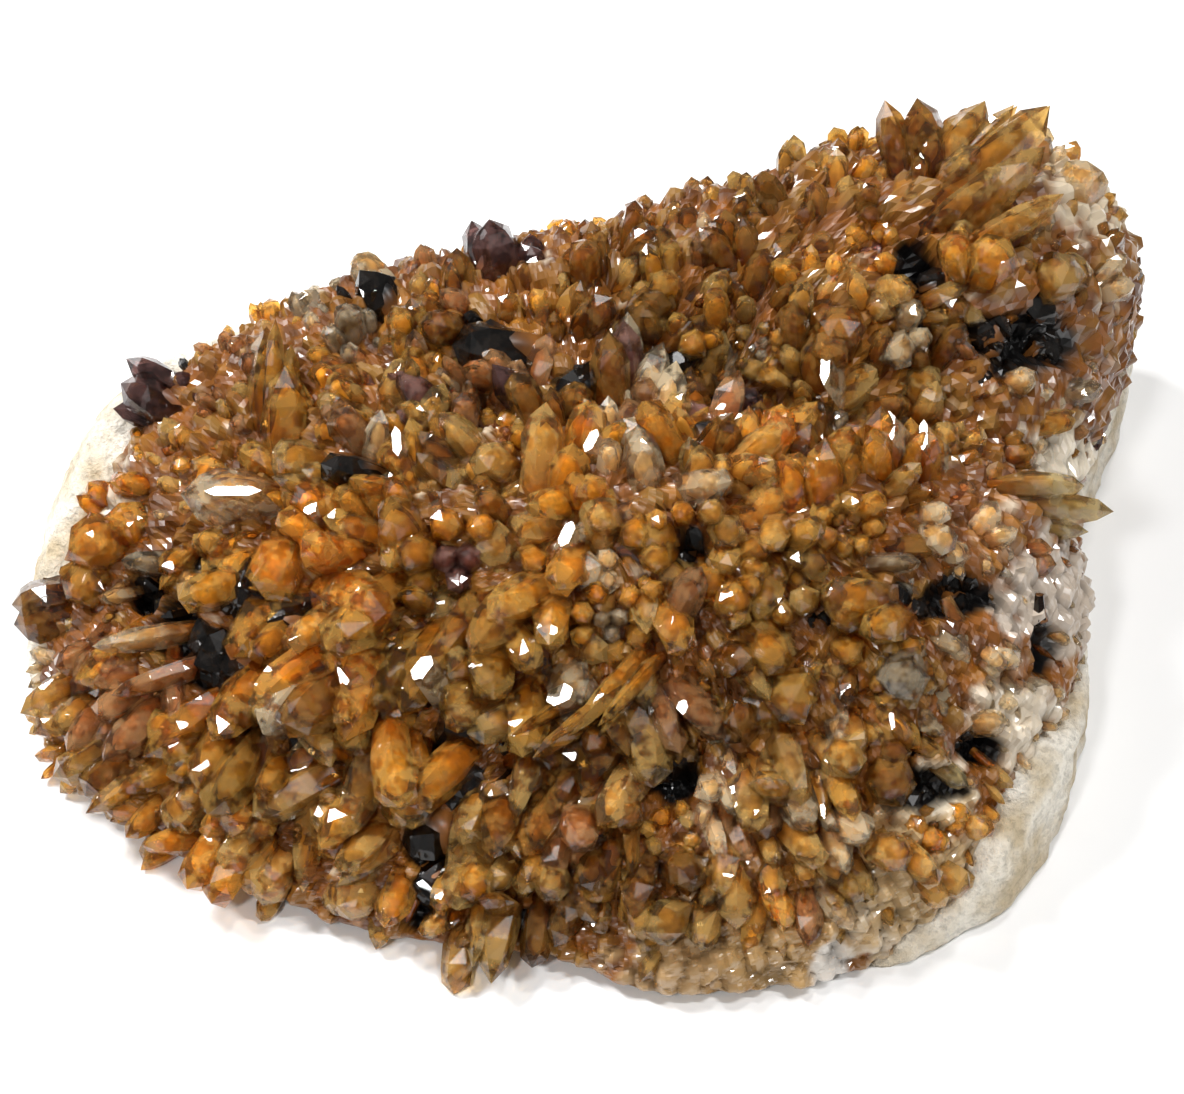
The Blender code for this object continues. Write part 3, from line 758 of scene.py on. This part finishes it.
def colour_names(places, random):
    """One colour name for each crystal, drawn with the shares of the regions around it. The
    draw is mostly a smooth value of the place, so that neighbours share a colour."""
    names = list(CORE_COLOURS)
    shares = np.zeros((len(places), len(names)))
    for row, near in zip(COLOUR_REGIONS.values(), near_regions(places, COLOUR_REGIONS)):
        for name, share in row[4].items():
            shares[:, names.index(name)] += (row[3] * near + THINNEST_SHARE) * share
    shares /= shares.sum(axis=1, keepdims=True)
    for name, share in RARE_COLOURS.items():
        shares[:, names.index(name)] += share
    total = np.cumsum(shares, axis=1)
    patch = (0.5 + PATCH_CONTRAST * drift(places, *COLOUR_PATCH)).clip(0.0, 1.0)
    drawn = COLOUR_CHANCE * random.uniform(0.0, 1.0, len(places)) + (1.0 - COLOUR_CHANCE) * patch
    drawn = drawn[:, None] * total[:, -1:]
    return np.array(names)[(drawn > total).sum(axis=1)]


def growth(taken, how):
    """Places, axes, lengths, radii, twists, habits and colours of one growth of crystals, as
    its row of GROWTHS gives it, clear of the places taken."""
    random = np.random.default_rng(how["seed"])
    degrees, level, places = crystal_sites(taken, how["spacing"], how["lowest"], how["candidates"], random)
    axes = crystal_directions(degrees, level, places, how["tilt"], random)
    axes = unit(axes + how["hang"] * hanging(places))
    inner = ramp(level - around(CRYSTAL_EDGE, degrees, CRYSTAL_EDGE_ROUNDING), *how["edge_band"])
    size = how["edge_size"] + (1.0 - how["edge_size"]) * inner
    if how["small"]:
        size *= fineness(places)
    radii = size * random.uniform(*how["radius"], len(places))
    lengths = radii * random.uniform(*how["slenderness"], len(places))
    if how["small"]:
        lengths = FILL_ROOT + lengths * (EDGE_LENGTH + (1.0 - EDGE_LENGTH) * inner)
    twists = random.uniform(0.0, math.tau, len(places))
    habits = random.choice(list(HABIT_SHARES), len(places), p=list(HABIT_SHARES.values()))
    return places, axes, lengths, radii, twists, habits, colour_names(places, random)


def grown_crystals():
    """Places, axes, lengths, radii, twists, habits and colours of all the crystals, as one
    array each: the large ones, then the part's others, then the small ones. Also how many of
    them are the part's."""
    rows = list(LARGE_CRYSTALS.values())
    grown = [
        [surface(*over(row[0], row[1])) for row in rows], [heading(row[2], row[3]) for row in rows],
        [row[4] for row in rows], [row[5] for row in rows], [math.radians(row[2]) for row in rows],
        [row[6] for row in rows], [row[7] for row in rows],
    ]
    counts = []
    for how in GROWTHS:
        for values, own in zip(grown, growth(grown[0], how)):
            values.extend(own)
        counts.append(len(grown[0]))
    grown = cleared([np.array(values) for values in grown], counts[0], len(rows))
    grown = with_satellites(grown, counts[0], len(rows))
    grown, in_part = with_rings(grown, counts[0], len(rows))
    return sunk_in_pockets(grown, len(rows)), in_part


def cleared(grown, in_part, named):
    """The crystals without those small ones that would cover the table's: the ones with a root
    or a middle inside the body of one of them."""
    places, axes, lengths, radii = grown[:4]
    middles = places + MIDDLE_SHARE * lengths[:, None] * axes
    hidden = np.zeros(len(places), bool)
    for number in range(named):
        for share in NAMED_SHARES:
            spot = places[number] + share * lengths[number] * axes[number]
            near = NAMED_CLEAR * radii[number]
            hidden |= np.linalg.norm(places - spot, axis=1) < near
            hidden |= np.linalg.norm(middles - spot, axis=1) < near
    hidden[:in_part] = False
    return [values[~hidden] for values in grown]


def with_satellites(grown, count, named):
    """The crystals, and after them the satellites of the first count of them: thinner and
    mostly shorter crystals beside each one, nearly parallel to it and of its colour. The
    rings, the black ones and the table's pale ones have none."""
    random = np.random.default_rng(SATELLITE_SEED)
    places, axes, lengths, radii = grown[:4]
    habits, colours = grown[5:]
    alone = (habits[:count] == "ring") | (colours[:count] == "black")
    alone[:named] |= colours[:named] == "pale"
    mother = np.repeat(np.flatnonzero(~alone), SATELLITES)
    aside = beside(axes[mother], random.uniform(0.0, math.tau, len(mother)))
    reach = random.uniform(*SATELLITE_OFFSET, len(mother)) * radii[mother]
    lean = random.uniform(*SATELLITE_LEAN, len(mother))
    lean *= np.where(habits[mother] == "blade", BLADE_LEAN, 1.0)
    hang = SATELLITE_HANG * (mother >= named)[:, None] * hanging(places[mother])
    own_axes = unit(axes[mother] + lean[:, None] * aside + hang)
    own_radii = radii[mother] * random.uniform(*SATELLITE_WIDTH, len(mother))
    own_lengths = lengths[mother] * random.uniform(*SATELLITE_LENGTH, len(mother))
    own_twists = random.uniform(0.0, math.tau, len(mother))
    own = (places[mother] + reach[:, None] * aside, own_axes, own_lengths, own_radii, own_twists,
           habits[mother], colours[mother])
    return [np.concatenate(pair) for pair in zip(grown, own)]


def ring_crystals(place, axis, length, radius, colour, height, random):
    """The crystals of one ring, as rows: a few dark ones close to its axis, and honey-coloured
    ones around them that lean outwards."""
    rows = []
    for number in range(RING_INNER):
        turn = math.tau * number / RING_INNER
        aside = beside(axis, turn)
        rows.append((
            place + RING_INNER_PLACE * radius * aside, unit(axis + RING_INNER_LEAN * aside),
            height * length, RING_INNER_WIDTH * radius, turn, "tooth", colour))
    for number in range(RING_CRYSTALS):
        turn = math.tau * (number + random.uniform(-RING_STRAY, RING_STRAY)) / RING_CRYSTALS
        aside = beside(axis, turn)
        rows.append((
            place + random.uniform(*RING_PLACE) * radius * aside,
            unit(axis + random.uniform(*RING_LEAN) * aside),
            random.uniform(*RING_LENGTH) * length, random.uniform(*RING_WIDTH) * radius,
            random.uniform(0.0, math.tau), "finger", random.choice(RING_COLOURS)))
    return rows


def with_rings(grown, in_part, named):
    """The crystals with a ring of honey crystals around each one of habit ring, and around
    those of RINGS. What grew in the way is left out. Also how many of the part's are left."""
    random = np.random.default_rng(RING_SEED)
    places, axes, lengths, radii = grown[:4]
    habits, colours = grown[5:]
    rings = [(places[k], axes[k], lengths[k], radii[k], colours[k], RING_INNER_HEIGHTS[colours[k]])
             for k in np.flatnonzero(habits[:named] == "ring")]
    for px, py, radius, colour, height in RINGS.values():
        place = seen_at(px, py)
        degrees, level = over(place[None, 0], place[None, 1])
        axis = unit(facing(degrees, level))[0]
        rings.append((place, axis, RING_HEIGHT * radius, radius, colour, height))
    kept = habits != "ring"
    added = []
    for ring in rings:
        place, axis, length, radius = ring[:4]
        near = np.linalg.norm(places - place, axis=1) < RING_CLEAR * radius
        for share in RING_SHARES:
            along = places + share * lengths[:, None] * axes - place
            near |= np.linalg.norm(along - RING_MIDDLE * length * axis, axis=1) < RING_CLEAR * radius
        near[:named] = False
        kept &= ~near
        added.extend(ring_crystals(*ring, random))
    own = [np.array(values) for values in zip(*added)]
    crystals = [np.concatenate((values[kept], more)) for values, more in zip(grown, own)]
    return crystals, int(kept[:in_part].sum())


def sunk_in_pockets(grown, named):
    """The crystals, with those short, wide, black and drawn into the crust that stand in a
    pocket or reach over one. The table's first named ones stay."""
    places, axes, lengths, radii = grown[:4]
    habits, colours = grown[5:]
    depth = pocket_depth(places)
    over_it = pocket_depth(places + TIP_SHARE * lengths[:, None] * axes, TIP_REACH)
    sunk = np.maximum(depth, TIP_WEIGHT * over_it) > SUNK_DEPTH
    sunk[:named] = False
    places[sunk] -= SUNK_SHARE * np.maximum(depth, over_it)[sunk, None] * axes[sunk]
    lengths[sunk] *= SUNK_LENGTH
    radii[sunk] *= SUNK_WIDTH
    habits[sunk] = "tooth"
    colours[sunk] = "black"
    return grown


def spires(places, axes, lengths, radii, twists, habit, sides, seed, unevenness):
    """Points (crystal, vertex, 3), heights (vertex) and faces of closed spires with one habit:
    rings carried along each axis, with a pole at the root and one at the end. A ring's radius
    is a rounded hexagon's, largest at its six edges, and every other edge stands out."""
    profile = np.array(HABITS[habit])
    heights = np.concatenate(((0.0,), profile[:-1, 0]))
    widths = np.concatenate(((FOOT_WIDTH,), profile[:-1, 1]))
    turn = np.arange(sides) * math.tau / sides
    hexagon = HEXAGON[0] + HEXAGON[1] * np.cos(6.0 * turn) + HEXAGON[2] * np.cos(3.0 * turn)
    flat = BLADE_FLATNESS if habit == "blade" else 1.0
    spread = beside(axes[:, None], twists[:, None] + turn, flat) * hexagon[:, None]
    count, rings = len(places), len(heights)
    random = np.random.default_rng(seed)
    uneven = 1.0 + random.normal(0.0, unevenness, (count, rings, sides, 1))
    along = heights[None] * lengths[:, None]
    along[:, 0] = -CRYSTAL_ROOT
    centres = places[:, None] + along[..., None] * axes[:, None]
    wide = widths[None] * radii[:, None]
    grid = centres[:, :, None] + wide[:, :, None, None] * spread[:, None] * uneven
    root = (places - CRYSTAL_ROOT * axes)[:, None]
    end = (places + (profile[-1, 0] * lengths)[:, None] * axes)[:, None]
    points = np.concatenate((grid.reshape(count, rings * sides, 3), root, end), axis=1)
    points[..., 2] = points[..., 2].clip(CRUST_FOOT)
    marks = np.concatenate((np.repeat(heights, sides), (0.0, 1.0)))
    return points, marks, tube_faces(rings, sides)


def flashing_faces():
    """Points and faces of prisms whose tops are long flat hexagons. Each stands along the half
    vector between the window lamp and the camera, so that its top mirrors the lamp."""
    right, up, back = picture_axes()
    window = np.array(LAMPS["window"][0]) / MM
    corners = np.array([(0.5, 0.0), (FACE_SHOULDER, 0.5), (-FACE_SHOULDER, 0.5),
                        (-0.5, 0.0), (-FACE_SHOULDER, -0.5), (FACE_SHOULDER, -0.5)])
    quads, triangles = tube_faces(2, len(corners))
    points = []
    for px, py, width, length, turn, height in FLASHING_FACES.values():
        top = seen_at(px, py) + height * back
        axis = unit(unit(window - top) + unit(eye() - top))
        along = math.cos(math.radians(turn)) * right + math.sin(math.radians(turn)) * up
        along = unit(along - (along @ axis) * axis)
        across = np.cross(axis, along)
        outline = length * corners[:, :1] * along + width * corners[:, 1:] * across
        foot = top - (height + FACE_ROOT) * axis
        points.append(np.concatenate((foot + FACE_FLARE * outline, top + outline, foot[None], top[None])))
    shift = len(points[0]) * np.arange(len(points))[:, None, None]
    return np.concatenate(points), ((quads + shift).reshape(-1, 4), (triangles + shift).reshape(-1, 3))


def tube_faces(rings, sides):
    """Quads and triangles of rings of points with a pole before the first and after the last."""
    k = np.arange(sides)
    after = (k + 1) % sides
    low = (np.arange(rings - 1) * sides)[:, None]
    high = low + sides
    quads = np.stack((low + k, low + after, high + after, high + k), axis=-1).reshape(-1, 4)
    root, end = rings * sides, rings * sides + 1
    last = (rings - 1) * sides
    floor = np.stack((after, k, np.full(sides, root)), axis=-1)
    roof = np.stack((last + k, last + after, np.full(sides, end)), axis=-1)
    return quads, np.concatenate((floor, roof))


def solid(name, points, faces, material, tint=None):
    """An object at the origin with the given quads and triangles, from points in mm, and with a
    colour for each point where tint is given."""
    quads, triangles = faces
    corners = np.concatenate((quads.ravel(), triangles.ravel()))
    starts = np.concatenate((4 * np.arange(len(quads)), quads.size + 3 * np.arange(len(triangles))))
    mesh = bpy.data.meshes.new(name)
    mesh.vertices.add(len(points))
    mesh.vertices.foreach_set("co", (points * MM).astype(np.float32).ravel())
    mesh.loops.add(len(corners))
    mesh.loops.foreach_set("vertex_index", corners.astype(np.int32))
    mesh.polygons.add(len(starts))
    mesh.polygons.foreach_set("loop_start", starts.astype(np.int32))
    mesh.update(calc_edges=True)
    mesh.shade_smooth()
    mesh.materials.append(material)
    if tint is not None:
        colours = mesh.color_attributes.new("tint", "FLOAT_COLOR", "POINT")
        opaque = np.column_stack((tint, np.ones(len(tint))))
        colours.data.foreach_set("color", opaque.astype(np.float32).ravel())
    item = bpy.data.objects.new(name, mesh)
    bpy.context.scene.collection.objects.link(item)
    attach(item, "root")
    return item


def hex_rows(table, names):
    """The linear colours of a table's names, as an array (name, 1, 3)."""
    return np.array([linear(table[name]) for name in names])[:, None]


def crystal_cluster(name, crystals, sides, material, seed, core):
    """One piece with a spire for each crystal: its core, smooth, or its skin, with flat faces. The tint goes
    from a darker colour at the root, close to the crust's, to the crystal's own colour: partly iron stain
    and partly painted shade where the crystals crowd."""
    places, axes, lengths, radii, twists, habits, colours = crystals
    points = []
    quads = []
    triangles = []
    tints = []
    start = 0
    for number, habit in enumerate(HABITS):
        own = np.flatnonzero(habits == habit)
        width, reach, unevenness = 1.0, 1.0, UNEVENNESS
        tip = hex_rows(SKIN_COLOURS, colours[own])
        # Darker at the root: partly iron stain, partly painted shade where the crystals meet the crust.
        foot = tip * np.array(linear(SKIN_ROOT_STAIN_AND_SHADE))
        if core:
            width = np.array([CORE_WIDTHS.get(colour, CORE_WIDTH) for colour in colours[own]])
            reach, unevenness = CORE_REACH, CORE_UNEVENNESS
            tip = hex_rows(CORE_COLOURS, colours[own])
            # A core's root is darker too: partly iron stain, partly painted shade.
            foot = (1.0 - ROOT_SHARE) * tip + ROOT_SHARE * np.array(linear(ROOT_STAIN_AND_SHADE))
        batch, marks, (four, three) = spires(
            places[own], axes[own], reach * lengths[own], width * radii[own], twists[own], habit,
            sides, seed + number, unevenness)
        count, size = batch.shape[:2]
        shift = start + size * np.arange(count)[:, None, None]
        points.append(batch.reshape(-1, 3))
        quads.append((four[None] + shift).reshape(-1, 4))
        triangles.append((three[None] + shift).reshape(-1, 3))
        start += count * size
        # The root's darker tint, partly painted shade, fades out up to this height.
        rise = ramp(marks, *TINT_RISE)[None, :, None]
        tone = 1.0 + TONE_RANGE * drift(places[own], *TONE_PATCH)[:, None, None]
        tint = (foot * (1.0 - rise) + tip * rise) * tone
        tints.append(np.broadcast_to(tint, (count, size, 3)).reshape(-1, 3))
    faces = (np.concatenate(quads), np.concatenate(triangles))
    item = solid(name, np.concatenate(points), faces, material, np.concatenate(tints))
    if not core:
        item.data.shade_flat()
    return item


def dome_grid(steps):
    """Degrees and levels of a grid with so many steps around and up, and after them those of
    the two poles: the middle of the base and of the top."""
    degrees, levels = np.meshgrid(np.arange(steps[0]) * 360.0 / steps[0], np.arange(steps[1]) / steps[1])
    return np.append(degrees.ravel(), (0.0, 0.0)), np.append(levels.ravel(), (0.0, TOP_LEVEL))


def dome_mesh(skin, steps):
    """Points and faces of a closed dome, with a skin's points at a grid of so many steps. The
    base's pole is moved to the middle of the lowest ring, on the floor."""
    points = skin(*dome_grid(steps))
    points[-2] = points[:steps[0]].mean(axis=0) * (1.0, 1.0, 0.0)
    return points, tube_faces(steps[1], steps[0])


def stretched(places):
    """The points, squeezed along the picture's height, so that a pattern of cobbles laid on
    them is drawn out that way."""
    up = picture_axes()[1]
    return places - (1.0 - CRUST_STRETCH) * (places @ up)[:, None] * up


def crust_relief(degrees, level):
    """Points of the crust between the crystals: the dome, raised along its normals by cobbles
    of half to one and a half times their height, by grains and by dust, and sunk in the
    pockets and where the crust is broken away."""
    places = surface(degrees, level)
    high, mark = cobbles(stretched(places), *COBBLES[1:])
    rise = CRUST_SETTLE + COBBLES[0] * high * (0.5 + mark)
    rise += GRAINS[0] * cobbles(places, *GRAINS[1:])[0] + DUST[0] * drift(places, *DUST[1:])
    rise -= pocket_depth(places) + CRUST_WITHDRAWN * (1.0 - crust_cover(degrees, level))
    foot = ramp(places[:, 2], 0.0, CRUST_RISE)
    points = places + (rise * foot)[:, None] * unit(facing(degrees, level))
    points[:, 2] = points[:, 2].clip(CRUST_FOOT)
    return points


def crust_tint(degrees, level):
    """The crust's colour: another honey tone for each cobble, darkened between them by painted shade, pale
    in the pale regions, and turned black in the pockets by painted shade that deepens with their depth."""
    places = surface(degrees, level)
    high, mark = cobbles(stretched(places), *COBBLES[1:])
    tones = np.array([linear(code) for code in CRUST_COLOURS])
    own = tones[(mark * len(tones)).astype(int).clip(0, len(tones) - 1)]
    low, black = (np.array(linear(code)) for code in (CRUST_HOLLOW_SHADE, CRUST_POCKET_SHADE))
    # Low between the cobbles, the tint turns to painted shade.
    share = ramp(high, *HOLLOW_SHADE_BAND)[:, None]
    tint = low * (1.0 - share) + CRUST_DULLNESS * own * share
    for row, near in zip(PALE_CRUST.values(), near_regions(places, PALE_CRUST)):
        grain = near + PALE_RAGGEDNESS * drift(places, *PALE_GRAIN) + PALE_COBBLES * (high - PALE_LEVEL)
        # The pale crust, too, is darkened by painted shade between its cobbles.
        pale = np.array(linear(row[3])) * (PALE_HOLLOW_SHADE + (1.0 - PALE_HOLLOW_SHADE) * share)
        tint += ramp(grain, *PALE_BAND)[:, None] * (pale - tint)
    # Painted shade: the crust turns black with the depth of a pocket.
    dark = ramp(pocket_depth(places), *POCKET_SHADE_BAND)[:, None]
    return tint * (1.0 - dark) + black * dark


def rock_relief(degrees, level):
    """Points of the bare rock: its smooth skin, raised along its normals by swells, rounded
    lumps and grains."""
    places = rock_surface(degrees, level)
    rise = ROCK_SWELLS[0] * drift(places, *ROCK_SWELLS[1:])
    rise += ROCK_LUMPS[0] * cobbles(places, *ROCK_LUMPS[1:])[0]
    rise += ROCK_GRAINS[0] * cobbles(places, *ROCK_GRAINS[1:])[0]
    rise *= 1.0 - crust_cover(degrees, level)
    rise *= ramp(places[:, 2], 0.0, ROCK_RISE)
    points = places + rise[:, None] * unit(facing(degrees, level))
    points[:, 2] = points[:, 2].clip(0.0)
    return points


def add(tree, kind, links=None, **settings):
    """A node of the given kind, with its settings and its inputs: a number, a colour or the
    output of another node."""
    node = tree.nodes.new(kind)
    for name, value in settings.items():
        setattr(node, name, value)
    for name, value in (links or {}).items():
        if isinstance(value, bpy.types.NodeSocket):
            tree.links.new(value, node.inputs[name])
        else:
            node.inputs[name].default_value = value
    return node


def blank_material(name):
    """A new material with that name, its empty tree and its output node."""
    material = bpy.data.materials.new(name)
    material.use_nodes = True
    tree = material.node_tree
    tree.nodes.clear()
    return material, tree, tree.nodes.new("ShaderNodeOutputMaterial")


def per_metre(size):
    """The scale of a pattern whose cells or clouds are that many mm apart."""
    return 1.0 / (size * MM)


def mapped(value, seen, given):
    """Inputs for a node that maps a value from the range seen to the range given."""
    return {"Value": value, "From Min": seen[0], "From Max": seen[1],
            "To Min": given[0], "To Max": given[1]}


def facets(tree, place, size, turn):
    """A normal that is turned at random in each cell of a pattern, by up to half of turn: the
    small flat growth faces of calcite, that flash one at a time."""
    cells = add(tree, "ShaderNodeTexVoronoi", {"Vector": place, "Scale": per_metre(size)})
    centred = add(tree, "ShaderNodeVectorMath", {0: cells.outputs["Color"], 1: (0.5, 0.5, 0.5)},
                  operation="SUBTRACT")
    turned = add(tree, "ShaderNodeVectorMath", {0: centred.outputs["Vector"], 1: (turn, turn, turn)},
                 operation="MULTIPLY")
    normal = add(tree, "ShaderNodeNewGeometry").outputs["Normal"]
    total = add(tree, "ShaderNodeVectorMath", {0: normal, 1: turned.outputs["Vector"]}, operation="ADD")
    whole = add(tree, "ShaderNodeVectorMath", {0: total.outputs["Vector"]}, operation="NORMALIZE")
    return whole.outputs["Vector"]


def clear_calcite(name, turn, absorption):
    """Clear calcite, grown last over the honey-coloured cores, with milky veils in it. The cut
    of its small growth faces, by turn, breaks up what it mirrors, and its absorption, per
    metre, warms it. Its IOR is lower than calcite's two, which would hide the cores behind
    mirrored light. Its coat has about the lower one of them."""
    material, tree, output = blank_material(name)
    place = add(tree, "ShaderNodeTexCoord").outputs["Object"]
    tint = add(tree, "ShaderNodeAttribute", attribute_name="tint").outputs["Color"]
    veil = add(tree, "ShaderNodeTexNoise", {
        "Vector": place, "Scale": per_metre(VEIL_SIZE), "Detail": 2.0, "Roughness": 0.6})
    shade = add(tree, "ShaderNodeMapRange", mapped(veil.outputs["Fac"], (0.60, 0.35), (0.80, 1.10)))
    stained = add(tree, "ShaderNodeVectorMath", {0: tint, 1: shade.outputs["Result"]}, operation="MULTIPLY")
    clear = add(tree, "ShaderNodeMapRange", mapped(veil.outputs["Fac"], (0.58, 0.44), SKIN_CLEARNESS))
    shader = add(tree, "ShaderNodeBsdfPrincipled", {
        "Base Color": stained.outputs["Vector"], "Roughness": 0.22, "IOR": 1.22,
        "Coat Weight": 0.8, "Coat Roughness": 0.02, "Coat IOR": 1.5,
        "Coat Normal": facets(tree, place, GROWTH_FACE, turn),
        "Transmission Weight": clear.outputs["Result"]})
    tree.links.new(shader.outputs[0], output.inputs["Surface"])
    if absorption:
        haze = add(tree, "ShaderNodeVolumeAbsorption", {
            "Color": (*linear("#F4E294"), 1.0), "Density": absorption})
        tree.links.new(haze.outputs[0], output.inputs["Volume"])
    return material


def honey_core():
    """Calcite coloured by iron, grown in cloudy zones: the glowing inside of the crystals."""
    material, tree, output = blank_material("honey_core")
    place = add(tree, "ShaderNodeTexCoord").outputs["Object"]
    tint = add(tree, "ShaderNodeAttribute", attribute_name="tint").outputs["Color"]
    cloud = add(tree, "ShaderNodeTexNoise", {"Vector": place, "Scale": per_metre(CLOUD_SIZE), "Detail": 2.0})
    shade = add(tree, "ShaderNodeMapRange", mapped(cloud.outputs["Fac"], (0.3, 0.7), (0.72, 1.15)))
    mixed = add(tree, "ShaderNodeVectorMath", {0: tint, 1: shade.outputs["Result"]}, operation="MULTIPLY")
    shader = add(tree, "ShaderNodeBsdfPrincipled", {"Base Color": mixed.outputs["Vector"], "Roughness": 0.4})
    tree.links.new(shader.outputs[0], output.inputs["Surface"])
    return material


def sugary_crust():
    """Fine-grained calcite between the crystals: many small grains, each with a glossy face."""
    material, tree, output = blank_material("sugary_calcite")
    tint = add(tree, "ShaderNodeAttribute", attribute_name="tint").outputs["Color"]
    shader = add(tree, "ShaderNodeBsdfPrincipled", {
        "Base Color": tint, "Roughness": 0.35, "Coat Weight": 0.5, "Coat Roughness": 0.05, "Coat IOR": 1.5})
    tree.links.new(shader.outputs[0], output.inputs["Surface"])
    return material


def matrix_stone():
    """Cream host rock, broken rather than cut: matte and gritty, with brownish stains."""
    material, tree, output = blank_material("cream_matrix_rock")
    place = add(tree, "ShaderNodeTexCoord").outputs["Object"]
    cloud = add(tree, "ShaderNodeTexNoise", {"Vector": place, "Scale": per_metre(STAIN_SIZE), "Detail": 5.0})
    colours = add(tree, "ShaderNodeValToRGB", {"Fac": cloud.outputs["Fac"]})
    stained, clean = colours.color_ramp.elements
    stained.color, stained.position = (*linear("#CDBB9C"), 1.0), 0.35
    clean.color, clean.position = (*linear("#F2EBDD"), 1.0), 0.6
    grain = add(tree, "ShaderNodeTexNoise", {
        "Vector": place, "Scale": per_metre(ROCK_GRAIN), "Detail": 4.0, "Roughness": 0.7})
    rough = add(tree, "ShaderNodeBump", {"Height": cloud.outputs["Fac"], "Strength": 0.8, "Distance": 0.003})
    bump = add(tree, "ShaderNodeBump", {
        "Height": grain.outputs["Fac"], "Strength": 0.9, "Distance": 0.001,
        "Normal": rough.outputs["Normal"]})
    speck = add(tree, "ShaderNodeMapRange", mapped(grain.outputs["Fac"], (0.35, 0.55), (0.72, 1.0)))
    mottled = add(tree, "ShaderNodeVectorMath", {0: colours.outputs["Color"], 1: speck.outputs["Result"]},
                  operation="MULTIPLY")
    shader = add(tree, "ShaderNodeBsdfPrincipled", {
        "Base Color": mottled.outputs["Vector"], "Roughness": 0.9, "Normal": bump.outputs["Normal"]})
    tree.links.new(shader.outputs[0], output.inputs["Surface"])
    return material


def set_camera():
    """The camera that the photo was taken with, as far as it can be told."""
    camera = bpy.data.cameras.new("camera")
    camera.lens = CAMERA_LENS
    camera.sensor_width = SENSOR_WIDTH
    item = bpy.data.objects.new("camera", camera)
    bpy.context.scene.collection.objects.link(item)
    item.location = eye() * MM
    item.rotation_euler = (math.radians(90.0 - CAMERA_ELEVATION), 0.0, 0.0)
    bpy.context.scene.camera = item


def set_floor():
    """A sheet of pale paper under the specimen."""
    material, tree, output = blank_material("pale_paper")
    shader = add(tree, "ShaderNodeBsdfPrincipled", {
        "Base Color": (*linear("#F4F4F4"), 1.0), "Roughness": 0.8})
    tree.links.new(shader.outputs[0], output.inputs["Surface"])
    bpy.ops.mesh.primitive_plane_add(size=FLOOR_SIZE, location=(0.0, 0.0, 0.0))
    floor = bpy.context.active_object
    floor.name = "floor"
    floor.data.materials.append(material)


def set_lights():
    """A pale sky and the lamps, each turned towards the specimen."""
    world = bpy.data.worlds.new("studio")
    bpy.context.scene.world = world
    world.use_nodes = True
    tree = world.node_tree
    sky = tree.nodes["Background"]
    sky.inputs["Color"].default_value = (1.0, 0.99, 0.97, 1.0)
    seen = add(tree, "ShaderNodeLightPath").outputs["Is Camera Ray"]
    strength = add(tree, "ShaderNodeMapRange", {"Value": seen, "To Min": SKY_LIGHT, "To Max": SKY_SEEN})
    tree.links.new(strength.outputs["Result"], sky.inputs["Strength"])
    for name, (place, size, power) in LAMPS.items():
        lamp = bpy.data.lights.new(name, "AREA")
        lamp.shape = "RECTANGLE"
        lamp.size, lamp.size_y = size
        lamp.energy = power
        item = bpy.data.objects.new(name, lamp)
        item.location = place
        away = Vector(place) - Vector(CAMERA_TARGET) * MM
        item.rotation_euler = away.to_track_quat("Z", "Y").to_euler()
        bpy.context.scene.collection.objects.link(item)


set_camera()
set_floor()
set_lights()
bpy.context.scene.view_settings.view_transform = "Standard"

crystals, in_part = grown_crystals()
large = [values[:in_part] for values in crystals]
small = [values[in_part:] for values in crystals]

rock = solid("matrix_rock", *dome_mesh(rock_relief, ROCK_STEPS), matrix_stone())
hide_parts("matrix")

crust_points, crust_faces = dome_mesh(crust_relief, CRUST_STEPS)
crust = solid("druse_crust", crust_points, crust_faces, sugary_crust(), crust_tint(*dome_grid(CRUST_STEPS)))
crust.data.shade_flat()

core_stuff = honey_core()
skin_stuff = clear_calcite("clear_calcite", FACE_TURN, ABSORPTION)
thin_skin_stuff = clear_calcite("thin_clear_calcite", FACE_TURN, 0.0)
large_cores = crystal_cluster("large_cores", large, LARGE_CORE_SIDES, core_stuff, LARGE_SEED, True)
small_cores = crystal_cluster("small_cores", small, SMALL_CORE_SIDES, core_stuff, SMALL_SEED, True)
large_skins = crystal_cluster("large_skins", large, SKIN_SIDES, skin_stuff, LARGE_SEED, False)
small_skins = crystal_cluster("small_skins", small, SKIN_SIDES, thin_skin_stuff, SMALL_SEED, False)

face_points, face_faces = flashing_faces()
face_tint = np.broadcast_to(linear(SKIN_COLOURS["pale"]), face_points.shape)
clean_stuff = clear_calcite("clean_calcite", 0.0, ABSORPTION)
flashing = solid("flashing_faces", face_points, face_faces, clean_stuff, face_tint)
flashing.data.shade_flat()
for item in (crust, large_cores, small_cores, large_skins, small_skins, flashing):
    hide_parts("calcite_druse")
